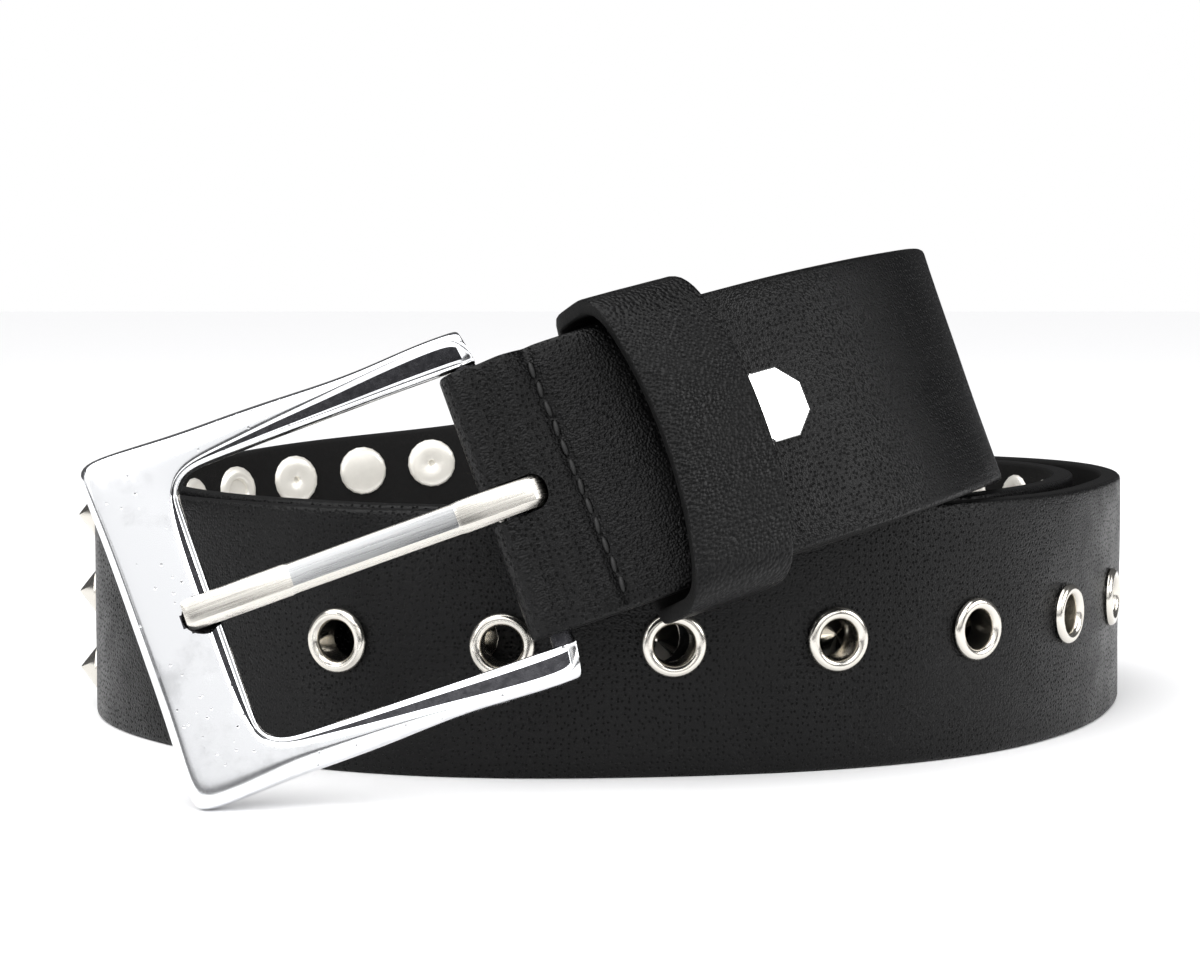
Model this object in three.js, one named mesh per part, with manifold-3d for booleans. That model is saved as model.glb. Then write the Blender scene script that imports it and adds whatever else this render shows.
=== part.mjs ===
// Studded leather belt with a prong buckle, rolled up and standing on its edge.
// Millimetres, +Z up, +Y away from the viewer. The origin is under the middle of the whole part.
import * as THREE from 'three';
import { mergeVertices } from 'three/addons/utils/BufferGeometryUtils.js';
import Module from 'manifold-3d';

const wasm = await Module();
wasm.setup();

// Leather strip
const STRAP_WIDTH = 38;
const STRAP_THICKNESS = 3.5;
const EDGE_BEVEL = 0.7;
const THIN_EDGE_SHARE = 0.6;
const LAP_STEP = 6;
const SKIVE_STEP = 1.9;
const TIP_LENGTH = 110;
const TIP_ROUND = 13;
const TIP_STEPS = [0.35, 0.62, 0.82, 0.94, 1];

// Lap: the end of the strip, thinned and folded round the buckle's bar
const LAP_THICKNESS = 2.4;
const FOLD_THICKNESS = 2.0;
const LAP_LENGTH = 56;
const LAP_GAP = 0.3;
const SKIVE_LENGTH = 11;
const LAP_EASE = 0.8;
const OUTER_EASE = 0.7;
const OUTER_START = 0.7;
const FOLD_STEPS = 10;
const SLOT_FRONT = 5.2;
const BUCKLE_SWING = 4;
const BUCKLE_SAG = 0.6;
const VALLEY_PLACE = 5.2;
const VALLEY_DEPTH = 0.5;
const VALLEY_HALF_WIDTH = 1.6;
const VALLEY_END = 13.2;

// Studs: pointed cones in three rows
const STUD_RADIUS = 4;
const STUD_HEIGHT = 3.2;
const STUD_SEAT = 0.5;
const STUD_SIDES = 10;
const STUD_PITCH = 12.87;
const STUD_ROW_GAP = 12.7;
const STUD_ROWS = [-1, 0, 1];
const FIRST_STUD = 137;
const LAST_STUD_TO_EYELET = 77.2;
const STUD_BACK_HEIGHT = 0.8;

// Eyelets: one row in the middle, near the tip
const EYELET_COUNT = 7;
const EYELET_PITCH = 24;
const EYELET_TURN = -35.5;
const EYELET_FLANGE_RADIUS = 4.7;
const EYELET_BORE_RADIUS = 2.9;
const EYELET_WALL = 0.4;
const EYELET_DOME = 0.9;
const EYELET_BACK_RADIUS = 4.4;
const EYELET_BACK_HEIGHT = 0.5;
const EYELET_SIDES = 14;
const EYELET_OUTER_ROUND = 0.25;
const EYELET_CROWN_IN = 0.9;
const EYELET_INNER_ROUND = 0.35;

// Buckle frame, in its own plane: a along the strap, c across it, b out of the plane
const BAR_RADIUS = 1.6;
const BAR_SIDES = 16;
const EAR_REACH = 2.3;
const FRAME_LENGTH = 53.5;
const FRONT_BAR_WIDTH = 11.4;
const ARM_WIDTH = 5.2;
const FRAME_DEPTH = 4.4;
const FRAME_FRONT = 2.9;
const FRAME_EDGE = 0.9;
const FRAME_CORNER = 2.6;
const FRAME_SIDE_ROUND = 0.8;
const WINDOW_CORNER = 3.4;
const WINDOW_END_ROUND = 0.1;
const FRAME_SIDE_PLAY = 0.9;
const NOTCH_LENGTH = 5.4;
const NOTCH_DEPTH = 1.7;

// Prong
const PRONG_WIDTH = 4.3;
const PRONG_THICKNESS = 1.9;
const PRONG_OVERHANG = 3.4;
const PRONG_RISE = 0.4;
const PRONG_TIP_DROP = 1.1;
const PRONG_EDGE = 0.35;
const CURL_START = 205;
const CURL_TURN = 245;
const CURL_STEPS = 10;

// Keeper loop
const KEEPER_PLACE = 21.7;
const KEEPER_WIDTH = 14;
const KEEPER_THICKNESS = 2.2;
const KEEPER_PLAY = 1.4;
const KEEPER_BULGE = 4.6;
const KEEPER_BOW = 2.6;
const KEEPER_PUSH = 3;
const KEEPER_SINK = 0.35;
const KEEPER_CROWN = 2;
const KEEPER_BACK_ROUND = 2.2;
const KEEPER_FRONT_ROUND = 4;
const KEEPER_CORNER_STEPS = 4;

// Eight-sided rivet through the lap
const RIVET_PLACE = 38.5;
const RIVET_ABOVE_MIDDLE = 1;
const RIVET_FLATS = 10.3;
const RIVET_HEIGHT = 1;
const RIVET_CORNERS = 8;
const RIVET_TAPER = 0.96;
const RIVET_SHANK_RADIUS = 1.5;
const RIVET_BACK_RADIUS = 4;
const RIVET_BACK_HEIGHT = 0.8;
const PEG_SIDES = 12;
const DISC_SIDES = 16;
const PEG_OVERLAP = 0.1;

// Clearances
const SEAT_GAP = 0.3;
const RUNNING_GAP = 0.15;
const SLOT_PLAY = 0.6;
const LAYER_CLEARANCE = 0.9;
const FACET_TOLERANCE = 0.04;

// Shape of the roll, seen from above. turn 0 faces the viewer, 90 is the right-hand bend.
// reach is the distance from the roll's middle as a share of COIL_RADIUS.
const COIL_RADIUS = 80;
const COIL_MIDDLE = new THREE.Vector2(2, 62);
const ROW_STEP = 30;
const OUTLINE = [
  { turn: 0, reach: 0.792 },
  { turn: 30, reach: 0.82 },
  { turn: 60, reach: 0.928 },
  { turn: 90, reach: 1.023 },
  { turn: 120, reach: 1.261 },
  { turn: 150, reach: 0.939 },
  { turn: 180, reach: 0.741 },
  { turn: 210, reach: 0.855 },
  { turn: 240, reach: 1.114 },
  { turn: 270, reach: 1.166 },
  { turn: 300, reach: 0.986 },
  { turn: 330, reach: 0.9 },
];

// The run between the inner turn and the buckle: it climbs over the roll and comes out in front.
// stand is a share of the thickness that lies between the buckle run and the roll's front,
// lift is the height of the strip's middle as a share of STRAP_WIDTH,
// lean tips its top edge to the left and back tips it away from the viewer, in degrees.
const BUCKLE_RUN = [
  { turn: -780, reach: 1.081, stand: 1, lift: 0.2, lean: 20.5, back: 4 },
  { turn: -750, reach: 0.935, stand: 1, lift: 0.8, lean: 20.5, back: 7 },
  { turn: -720, reach: 0.817, stand: 1, lift: 1.232, lean: 21, back: 10 },
  { turn: -690, reach: 0.775, stand: 0.5, lift: 1.454, lean: 20.5, back: 14 },
  { turn: -660, reach: 0.735, stand: 0, lift: 1.531, lean: 18.5, back: 15 },
  { turn: -630, reach: 0.637, stand: 0, lift: 1.447, lean: 16.5, back: 13.5 },
  { turn: -600, reach: 0.531, stand: 0, lift: 1.263, lean: 15, back: 10.5 },
  { turn: -570, reach: 0.441, stand: 0, lift: 1.041, lean: 14, back: 7 },
  { turn: -540, reach: 0.42, stand: 0, lift: 0.833, lean: 13, back: 4 },
  { turn: -510, reach: 0.522, stand: 0, lift: 0.683, lean: 11, back: 2 },
  { turn: -480, reach: 0.776, stand: 0, lift: 0.617, lean: 7, back: 1 },
];
const INNER_TURN = -450;
const OUTER_TURN = 210;
const FOLD_TURN = -730.3;

const LAYER_PITCH = STRAP_THICKNESS + STUD_HEIGHT + STUD_BACK_HEIGHT + LAYER_CLEARANCE;
const FRONT_STAND = STRAP_THICKNESS + SEAT_GAP * 2 + KEEPER_THICKNESS + LAP_THICKNESS + LAP_GAP;
const LEVEL_LIFT = 0.5;

// Route of the strip's middle surface

function coilRow(turn) {
  const row = OUTLINE[(((turn / ROW_STEP) % OUTLINE.length) + OUTLINE.length) % OUTLINE.length];
  const layersIn = (OUTER_TURN - turn) / 360;
  const reach = row.reach * COIL_RADIUS - LAYER_PITCH * layersIn;
  return { turn, reach, lift: LEVEL_LIFT, lean: 0, back: 0 };
}

function routeRows() {
  const run = BUCKLE_RUN.map((row) => {
    const reach = row.reach * COIL_RADIUS + row.stand * FRONT_STAND;
    return { ...row, reach };
  });
  for (let turn = INNER_TURN; turn <= OUTER_TURN; turn += ROW_STEP) {
    run.push(coilRow(turn));
  }
  return run;
}

const ROWS = routeRows();
const SPLINE_COLUMNS = ['reach', 'lift', 'lean', 'back'];

// Smooth value of each column between rows, by a uniform cubic B-spline.
function rowAt(turn) {
  const place = (turn - ROWS[0].turn) / ROW_STEP;
  const base = Math.min(Math.max(Math.floor(place), 1), ROWS.length - 3);
  const u = place - base;
  const weights = [
    (1 - u) ** 3 / 6,
    (3 * u ** 3 - 6 * u ** 2 + 4) / 6,
    (-3 * u ** 3 + 3 * u ** 2 + 3 * u + 1) / 6,
    u ** 3 / 6,
  ];
  const value = {};
  for (const column of SPLINE_COLUMNS) {
    value[column] = weights.reduce((sum, weight, i) => sum + weight * ROWS[base - 1 + i][column], 0);
  }
  return value;
}

function routePoint(turn) {
  const row = rowAt(turn);
  const angle = THREE.MathUtils.degToRad(turn);
  const x = COIL_MIDDLE.x + row.reach * Math.sin(angle);
  const y = COIL_MIDDLE.y - row.reach * Math.cos(angle);
  return new THREE.Vector3(x, y, row.lift * STRAP_WIDTH);
}

// Frame at a turn: t along the strip, w across it towards its top edge, n out of its studded face.
function routeFrame(turn) {
  const nudge = 0.5;
  const row = rowAt(turn);
  const p = routePoint(turn);
  const t = routePoint(turn + nudge).sub(routePoint(turn - nudge)).normalize();
  const lean = Math.tan(THREE.MathUtils.degToRad(row.lean));
  const back = Math.tan(THREE.MathUtils.degToRad(row.back));
  const w = new THREE.Vector3(-lean, back, 1);
  w.addScaledVector(t, -w.dot(t)).normalize();
  const n = new THREE.Vector3().crossVectors(t, w);
  return { p, t, w, n };
}

const TRACE_STEP = 0.5;
const TRACE = [];
{
  let length = 0;
  let last = routePoint(FOLD_TURN);
  for (let turn = FOLD_TURN; turn <= OUTER_TURN - ROW_STEP; turn += TRACE_STEP) {
    const p = routePoint(turn);
    length += p.distanceTo(last);
    last = p;
    TRACE.push({ turn, length });
  }
}

function turnAtLength(length) {
  const next = Math.max(TRACE.findIndex((point) => point.length >= length), 1);
  const [a, b] = [TRACE[next - 1], TRACE[next]];
  return a.turn + (b.turn - a.turn) * (length - a.length) / (b.length - a.length);
}

function lengthAtTurn(turn) {
  const next = Math.max(TRACE.findIndex((point) => point.turn >= turn), 1);
  const [a, b] = [TRACE[next - 1], TRACE[next]];
  return a.length + (b.length - a.length) * (turn - a.turn) / (b.turn - a.turn);
}

function frameAtLength(length) {
  return routeFrame(turnAtLength(length));
}

function pointIn(frame, a, b, c) {
  return frame.p.clone().addScaledVector(frame.t, a).addScaledVector(frame.n, b).addScaledVector(frame.w, c);
}

function matrixOf(frame) {
  const matrix = new THREE.Matrix4().makeBasis(frame.t, frame.w, frame.n);
  return matrix.setPosition(frame.p);
}

// Solids

function solidOf(geometry) {
  const bare = geometry.clone();
  bare.deleteAttribute('normal');
  bare.deleteAttribute('uv');
  const merged = mergeVertices(bare, 1e-4);
  const corners = merged.index.array;
  const faces = [];
  for (let i = 0; i < corners.length; i += 3) {
    const face = [corners[i], corners[i + 1], corners[i + 2]];
    if (new Set(face).size === 3) {
      faces.push(...face);
    }
  }
  return new wasm.Manifold(new wasm.Mesh({
    numProp: 3,
    vertProperties: merged.attributes.position.array,
    triVerts: new Uint32Array(faces),
  }));
}

function geometryOf(solid) {
  const { vertProperties, triVerts } = solid.getMesh();
  const geometry = new THREE.BufferGeometry();
  geometry.setAttribute('position', new THREE.BufferAttribute(vertProperties, 3));
  geometry.setIndex(new THREE.BufferAttribute(triVerts, 1));
  return geometry;
}

// Skin over rings of points. A closed loft joins its last ring to its first.
function loft(rings, closed = false) {
  const sides = rings[0].length;
  const position = rings.flat().flatMap((p) => [p.x, p.y, p.z]);
  const index = [];
  const spans = closed ? rings.length : rings.length - 1;
  for (let i = 0; i < spans; i += 1) {
    const here = i * sides;
    const there = ((i + 1) % rings.length) * sides;
    for (let j = 0; j < sides; j += 1) {
      const k = (j + 1) % sides;
      index.push(here + j, here + k, there + k, here + j, there + k, there + j);
    }
  }
  if (!closed) {
    const last = (rings.length - 1) * sides;
    for (let j = 1; j < sides - 1; j += 1) {
      index.push(0, j + 1, j);
      index.push(last, last + j, last + j + 1);
    }
  }
  const geometry = new THREE.BufferGeometry();
  geometry.setAttribute('position', new THREE.BufferAttribute(new Float32Array(position), 3));
  geometry.setIndex(index);
  return geometry;
}

// Section of the strip as a ring round its middle: half the width across, half the thickness out.
function strapRing(middle, w, n, halfWidth, thickness) {
  const half = thickness / 2;
  const cut = Math.min(EDGE_BEVEL, half * THIN_EDGE_SHARE);
  const corners = [
    [cut - halfWidth, half], [-halfWidth, half - cut], [-halfWidth, -half],
    [halfWidth, -half], [halfWidth, half - cut], [halfWidth - cut, half],
  ];
  return corners.map(([c, b]) => middle.clone().addScaledVector(w, c).addScaledVector(n, b));
}

// Landmarks along the strip, as lengths from the buckle's bar
const FIRST_EYELET = lengthAtTurn(EYELET_TURN);
const LAST_EYELET = FIRST_EYELET + (EYELET_COUNT - 1) * EYELET_PITCH;
const STRAP_END = LAST_EYELET + TIP_LENGTH;
const LAST_STUD = FIRST_EYELET - LAST_STUD_TO_EYELET;

// The fold lies in the plane square to the bar
const FOLD = frameAtLength(0);
const OUTER_HALF = STRAP_THICKNESS / 2;
const LAP_OFFSET = -(OUTER_HALF + LAP_GAP + LAP_THICKNESS / 2);
const BAR_OFFSET = -(OUTER_HALF + LAP_GAP / 2);
const EYE_RADIUS = BAR_RADIUS + SEAT_GAP + FOLD_THICKNESS / 2;

const BAR_FRAME = { ...FOLD, p: pointIn(FOLD, 0, BAR_OFFSET, 0) };

// The buckle rests swung a little outward about its bar and slid down along it.
const SWING = THREE.MathUtils.degToRad(BUCKLE_SWING);
const BUCKLE_FRAME = {
  ...BAR_FRAME,
  p: pointIn(BAR_FRAME, 0, 0, -BUCKLE_SAG),
  t: BAR_FRAME.t.clone().applyAxisAngle(BAR_FRAME.w, SWING),
  n: BAR_FRAME.n.clone().applyAxisAngle(BAR_FRAME.w, SWING),
};
const PRONG_FRAME = { ...BUCKLE_FRAME, p: BAR_FRAME.p };

function smooth(u) {
  const v = THREE.MathUtils.clamp(u, 0, 1);
  return v * v * (3 - 2 * v);
}

function foldRings() {
  const rings = [];
  const half = STRAP_WIDTH / 2;
  const lapStart = EYE_RADIUS;
  const laps = Math.ceil((LAP_LENGTH - lapStart) / LAP_STEP);
  for (let i = 0; i <= laps; i += 1) {
    const s = LAP_LENGTH - (LAP_LENGTH - lapStart) * i / laps;
    const frame = frameAtLength(s);
    const ease = 1 - smooth((s - lapStart) / SKIVE_LENGTH);
    const backOfEye = BAR_OFFSET - EYE_RADIUS;
    const offset = THREE.MathUtils.lerp(LAP_OFFSET, backOfEye, ease * LAP_EASE);
    const thickness = THREE.MathUtils.lerp(LAP_THICKNESS, FOLD_THICKNESS, ease);
    const middle = pointIn(frame, 0, offset, 0);
    rings.push(strapRing(middle, frame.w, frame.n.clone().negate(), half, thickness));
  }
  for (let i = 0; i <= FOLD_STEPS; i += 1) {
    const angle = -Math.PI / 2 - Math.PI * i / FOLD_STEPS;
    const out = FOLD.t.clone().multiplyScalar(Math.cos(angle)).addScaledVector(FOLD.n, Math.sin(angle));
    const middle = BAR_FRAME.p.clone().addScaledVector(out, EYE_RADIUS);
    rings.push(strapRing(middle, FOLD.w, out, half, FOLD_THICKNESS));
  }
  return rings;
}

// How far the outer layer's face sinks near the fold: a valley behind the bar.
function faceSink(s) {
  return VALLEY_DEPTH * Math.exp(-(((s - VALLEY_PLACE) / VALLEY_HALF_WIDTH) ** 2));
}

function outerRings() {
  const rings = [];
  const lengths = [];
  for (let s = EYE_RADIUS * OUTER_START; s < SKIVE_LENGTH; s += SKIVE_STEP) {
    lengths.push(s);
  }
  const tipStart = STRAP_END - TIP_ROUND;
  const half = STUD_PITCH / 2;
  const first = Math.ceil((SKIVE_LENGTH - LAST_STUD) / half);
  for (let i = first; LAST_STUD + i * half < tipStart; i += 1) {
    lengths.push(LAST_STUD + i * half);
  }
  for (const share of TIP_STEPS) {
    lengths.push(tipStart + TIP_ROUND * share);
  }
  for (const s of lengths) {
    const frame = frameAtLength(s);
    const grown = smooth(s / SKIVE_LENGTH);
    const thickness = THREE.MathUtils.lerp(FOLD_THICKNESS, STRAP_THICKNESS, grown);
    const eyeTop = BAR_OFFSET + EYE_RADIUS;
    const offset = THREE.MathUtils.lerp(eyeTop, 0, smooth(s / (SKIVE_LENGTH * OUTER_EASE)));
    const sink = s < VALLEY_END ? faceSink(s) : 0;
    const round = Math.max(s - tipStart, 0) / TIP_ROUND;
    const tipNarrow = TIP_ROUND * (1 - Math.sqrt(Math.max(1 - round * round, 0)));
    const halfWidth = Math.max(STRAP_WIDTH / 2 - tipNarrow, EDGE_BEVEL * 2);
    const middle = pointIn(frame, 0, offset - sink / 2, 0);
    rings.push(strapRing(middle, frame.w, frame.n, halfWidth, thickness - sink));
  }
  return rings;
}

// A cylinder along a frame's n, from one height to another.
function pegAlong(frame, radius, from, to, sides) {
  const peg = new THREE.CylinderGeometry(radius, radius, to - from, sides);
  peg.rotateX(Math.PI / 2);
  peg.translate(0, 0, (from + to) / 2);
  return peg.applyMatrix4(matrixOf(frame));
}

function studs() {
  const columns = Math.floor((LAST_STUD - FIRST_STUD) / STUD_PITCH) + 1;
  const solids = [];
  for (let i = 0; i < columns; i += 1) {
    const frame = frameAtLength(LAST_STUD - i * STUD_PITCH);
    for (const row of STUD_ROWS) {
      const slope = STUD_RADIUS / STUD_HEIGHT;
      const seatRadius = STUD_RADIUS + STUD_SEAT * slope;
      const cone = new THREE.ConeGeometry(seatRadius, STUD_HEIGHT + STUD_SEAT, STUD_SIDES);
      cone.rotateX(Math.PI / 2);
      cone.translate(0, row * STUD_ROW_GAP, OUTER_HALF + (STUD_HEIGHT - STUD_SEAT) / 2);
      solids.push(solidOf(cone.applyMatrix4(matrixOf(frame))));
    }
  }
  return solids;
}

function rivetSeat() {
  const frame = frameAtLength(RIVET_PLACE);
  return { ...frame, p: pointIn(frame, 0, 0, RIVET_ABOVE_MIDDLE) };
}

function prongSlot() {
  const reachBack = EYE_RADIUS + FOLD_THICKNESS;
  const slot = new THREE.BoxGeometry(reachBack + SLOT_FRONT, PRONG_WIDTH + 2 * SLOT_PLAY, 4 * EYE_RADIUS);
  slot.translate((SLOT_FRONT - reachBack) / 2, 0, 0);
  return solidOf(slot.applyMatrix4(matrixOf(BAR_FRAME)));
}

function studdedStrap() {
  let strap = solidOf(loft([...foldRings(), ...outerRings()]));
  const cuts = [prongSlot()];
  for (let i = 0; i < EYELET_COUNT; i += 1) {
    const frame = frameAtLength(FIRST_EYELET + i * EYELET_PITCH);
    const radius = EYELET_BORE_RADIUS + EYELET_WALL + SEAT_GAP;
    cuts.push(solidOf(pegAlong(frame, radius, -STRAP_THICKNESS, STRAP_THICKNESS, EYELET_SIDES)));
  }
  const rivetFrame = rivetSeat();
  const through = 2 * (STRAP_THICKNESS + LAP_THICKNESS);
  cuts.push(solidOf(pegAlong(rivetFrame, RIVET_SHANK_RADIUS + SEAT_GAP, -through, through, PEG_SIDES)));
  strap = strap.subtract(wasm.Manifold.union(cuts));
  return geometryOf(strap.add(wasm.Manifold.union(studs())).simplify(FACET_TOLERANCE));
}

// Half the height of the frame's outer edge along its length: a slight waist, flaring at the bar.
const FRAME_SIDES = [
  { along: 1.0, flare: -0.1 },
  { along: 0.72, flare: -0.16 },
  { along: 0.5, flare: -0.1 },
  { along: 0.35, flare: -0.16 },
  { along: 0.24, flare: -0.14 },
  { along: 0.12, flare: 0 },
];

function roundedCorner(shape, corner, before, after, radius) {
  const from = corner.clone().addScaledVector(before.clone().sub(corner).normalize(), radius);
  const to = corner.clone().addScaledVector(after.clone().sub(corner).normalize(), radius);
  shape.lineTo(from.x, from.y);
  shape.quadraticCurveTo(corner.x, corner.y, to.x, to.y);
}

function buckleFrame() {
  const inner = STRAP_WIDTH / 2 + FRAME_SIDE_PLAY;
  const outer = inner + ARM_WIDTH;
  const side = FRAME_SIDES.map(({ along, flare }) => (
    new THREE.Vector2(-FRAME_LENGTH * along, outer + flare * ARM_WIDTH)));
  const edge = FRAME_EDGE;
  const outline = [];
  for (const p of side) {
    outline.push(new THREE.Vector2(p.x, -p.y));
  }
  outline.push(new THREE.Vector2(EAR_REACH, -outer));
  outline.push(new THREE.Vector2(EAR_REACH, outer));
  for (const p of [...side].reverse()) {
    outline.push(p);
  }
  const shape = new THREE.Shape();
  const count = outline.length;
  const radii = outline.map((p, i) => (i === 0 || i === count - 1 ? FRAME_CORNER : FRAME_SIDE_ROUND));
  const start = outline[0].clone().lerp(outline[count - 1], 0.5);
  shape.moveTo(start.x + edge, start.y);
  const inset = outline.map((p) => new THREE.Vector2(
    THREE.MathUtils.clamp(p.x, edge - FRAME_LENGTH, EAR_REACH - edge), p.y - Math.sign(p.y) * edge));
  inset.forEach((p, i) => {
    roundedCorner(shape, p, inset[(i + count - 1) % count], inset[(i + 1) % count], radii[i]);
  });
  shape.closePath();
  const windowEnd = EAR_REACH + 2 * FRAME_EDGE;
  const windowStart = FRONT_BAR_WIDTH - FRAME_LENGTH;
  const ring = new THREE.ExtrudeGeometry(shape, {
    depth: FRAME_DEPTH - 2 * edge,
    bevelThickness: edge,
    bevelSize: edge,
    bevelSegments: 2,
    curveSegments: 3,
  });
  ring.translate(0, 0, FRAME_FRONT - FRAME_DEPTH + edge);
  const window = new THREE.Shape();
  const corners = [
    new THREE.Vector2(windowStart, -inner),
    new THREE.Vector2(windowEnd, -inner),
    new THREE.Vector2(windowEnd, inner),
    new THREE.Vector2(windowStart, inner),
  ];
  window.moveTo(windowStart, 0);
  corners.forEach((p, i) => {
    const radius = i === 0 || i === 3 ? WINDOW_CORNER : WINDOW_END_ROUND;
    roundedCorner(window, p, corners[(i + 3) % 4], corners[(i + 1) % 4], radius);
  });
  window.closePath();
  const hole = new THREE.ExtrudeGeometry(window, {
    depth: 3 * FRAME_DEPTH,
    bevelEnabled: false,
    curveSegments: 4,
  });
  hole.translate(0, 0, -1.5 * FRAME_DEPTH);
  const notch = new THREE.BoxGeometry(NOTCH_LENGTH + 2, PRONG_WIDTH + 2 * SLOT_PLAY, 2 * NOTCH_DEPTH);
  notch.translate(windowStart - NOTCH_LENGTH / 2 + 1, BUCKLE_SAG, FRAME_FRONT);
  const bar = new THREE.CylinderGeometry(BAR_RADIUS, BAR_RADIUS, 2 * (inner + ARM_WIDTH / 2), BAR_SIDES);
  const body = solidOf(ring).subtract(solidOf(hole)).subtract(solidOf(notch)).add(solidOf(bar));
  return geometryOf(body).applyMatrix4(matrixOf(BUCKLE_FRAME));
}

// Blade of the prong: along is a share of the window's length, and level runs from 0 on top of the
// curl, where rise adds a share of PRONG_RISE, to 1 on the notch's floor, where it adds one of the drop.
const PRONG_BLADE = [
  { along: 0.19, level: 0, rise: 0.75 },
  { along: 0.48, level: 0, rise: 1 },
  { along: 0.76, level: 0, rise: 0.95 },
  { along: 0.95, level: 1, rise: 0.45 },
];
const PRONG_TIP = [
  { past: 0.45, rise: 0.12 },
  { past: 1, rise: 0 },
];

// Middle line of the prong in the plane square to the bar: a curl round the bar, then the blade.
function prongLine() {
  const curl = BAR_RADIUS + RUNNING_GAP + PRONG_THICKNESS / 2;
  const line = [];
  for (let i = 0; i <= CURL_STEPS; i += 1) {
    const angle = THREE.MathUtils.degToRad(CURL_START + CURL_TURN * i / CURL_STEPS);
    line.push({ a: curl * Math.cos(angle), b: curl * Math.sin(angle) });
  }
  const notchFloor = FRAME_FRONT - NOTCH_DEPTH + SEAT_GAP + PRONG_THICKNESS / 2;
  const barInner = FRAME_LENGTH - FRONT_BAR_WIDTH;
  for (const { along, level, rise } of PRONG_BLADE) {
    const b = level === 0 ? curl + PRONG_RISE * rise : notchFloor + PRONG_TIP_DROP * rise;
    line.push({ a: -barInner * along, b });
  }
  for (const { past, rise } of PRONG_TIP) {
    line.push({ a: -barInner - PRONG_OVERHANG * past, b: notchFloor + PRONG_TIP_DROP * rise });
  }
  return line;
}

function buckleProng() {
  const line = prongLine();
  const half = PRONG_WIDTH / 2;
  const thick = PRONG_THICKNESS / 2;
  const cut = PRONG_EDGE;
  const rings = line.map((point, i) => {
    const before = line[Math.max(i - 1, 0)];
    const after = line[Math.min(i + 1, line.length - 1)];
    const length = Math.hypot(after.a - before.a, after.b - before.b);
    const out = { a: (after.b - before.b) / length, b: -(after.a - before.a) / length };
    const corners = [
      [half - cut, thick], [half, thick - cut], [half, cut - thick], [half - cut, -thick],
      [cut - half, -thick], [-half, cut - thick], [-half, thick - cut], [cut - half, thick],
    ];
    return corners.map(([c, d]) => new THREE.Vector3(point.a + out.a * d, c, point.b + out.b * d));
  });
  return loft(rings).applyMatrix4(matrixOf(PRONG_FRAME));
}

// Middle of the keeper's wall round the doubled strip, as points across the strip and out of it.
function keeperPath() {
  const half = STRAP_WIDTH / 2 + KEEPER_PLAY + KEEPER_THICKNESS / 2;
  const back = LAP_OFFSET - LAP_THICKNESS / 2 - 2 * SEAT_GAP - KEEPER_THICKNESS / 2;
  const front = OUTER_HALF + KEEPER_THICKNESS / 2 + KEEPER_BULGE;
  const shoulder = front - KEEPER_CROWN;
  const path = new THREE.Path();
  path.moveTo(KEEPER_BACK_ROUND - half, back);
  path.lineTo(half - KEEPER_BACK_ROUND, back);
  path.quadraticCurveTo(half, back, half, back + KEEPER_BACK_ROUND);
  path.lineTo(half, shoulder - KEEPER_FRONT_ROUND);
  path.quadraticCurveTo(half, shoulder, half - KEEPER_FRONT_ROUND, shoulder + KEEPER_CROWN / 2);
  path.quadraticCurveTo(half / 2, front, 0, front);
  path.quadraticCurveTo(-half / 2, front, KEEPER_FRONT_ROUND - half, shoulder + KEEPER_CROWN / 2);
  path.quadraticCurveTo(-half, shoulder, -half, shoulder - KEEPER_FRONT_ROUND);
  path.lineTo(-half, back + KEEPER_BACK_ROUND);
  path.quadraticCurveTo(-half, back, KEEPER_BACK_ROUND - half, back);
  return path.getPoints(KEEPER_CORNER_STEPS).slice(0, -1);
}

// The keeper's front wall stands off the strip, is pushed along it and bows in the middle.
function keeper() {
  const walls = keeperPath();
  const back = Math.min(...walls.map((wall) => wall.y));
  const front = Math.max(...walls.map((wall) => wall.y));
  const half = Math.max(...walls.map((wall) => wall.x));
  const rings = walls.map((wall, i) => {
    const before = walls[(i + walls.length - 1) % walls.length];
    const after = walls[(i + 1) % walls.length];
    const along = after.clone().sub(before).normalize();
    const forward = smooth((wall.y - back) / (front - back));
    const shift = KEEPER_PUSH * forward + KEEPER_BOW * forward * (1 - (wall.x / half) ** 2);
    return [[-1, -1], [1, -1], [1, 1], [-1, 1]].map(([side, depth]) => {
      const frame = frameAtLength(KEEPER_PLACE + side * KEEPER_WIDTH / 2 + shift);
      const away = depth * KEEPER_THICKNESS / 2;
      const sink = side > 0 ? forward * KEEPER_BULGE * KEEPER_SINK : 0;
      return pointIn(frame, 0, wall.y - along.x * away - sink, wall.x + along.y * away);
    });
  });
  return loft(rings, true);
}

function lapRivet() {
  const frame = rivetSeat();
  const capFrom = OUTER_HALF + SEAT_GAP;
  const backTo = LAP_OFFSET - LAP_THICKNESS / 2 - SEAT_GAP;
  const capRadius = RIVET_FLATS / 2 / Math.cos(Math.PI / RIVET_CORNERS);
  const cap = new THREE.CylinderGeometry(capRadius * RIVET_TAPER, capRadius, RIVET_HEIGHT, RIVET_CORNERS);
  cap.rotateX(Math.PI / 2);
  cap.rotateZ(Math.PI / RIVET_CORNERS);
  cap.translate(0, 0, capFrom + RIVET_HEIGHT / 2);
  const shank = pegAlong(frame, RIVET_SHANK_RADIUS, backTo - PEG_OVERLAP, capFrom + PEG_OVERLAP, PEG_SIDES);
  const disc = pegAlong(frame, RIVET_BACK_RADIUS, backTo - RIVET_BACK_HEIGHT, backTo, DISC_SIDES);
  const solids = [solidOf(cap.applyMatrix4(matrixOf(frame))), solidOf(shank), solidOf(disc)];
  return geometryOf(wasm.Manifold.union(solids));
}

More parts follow.
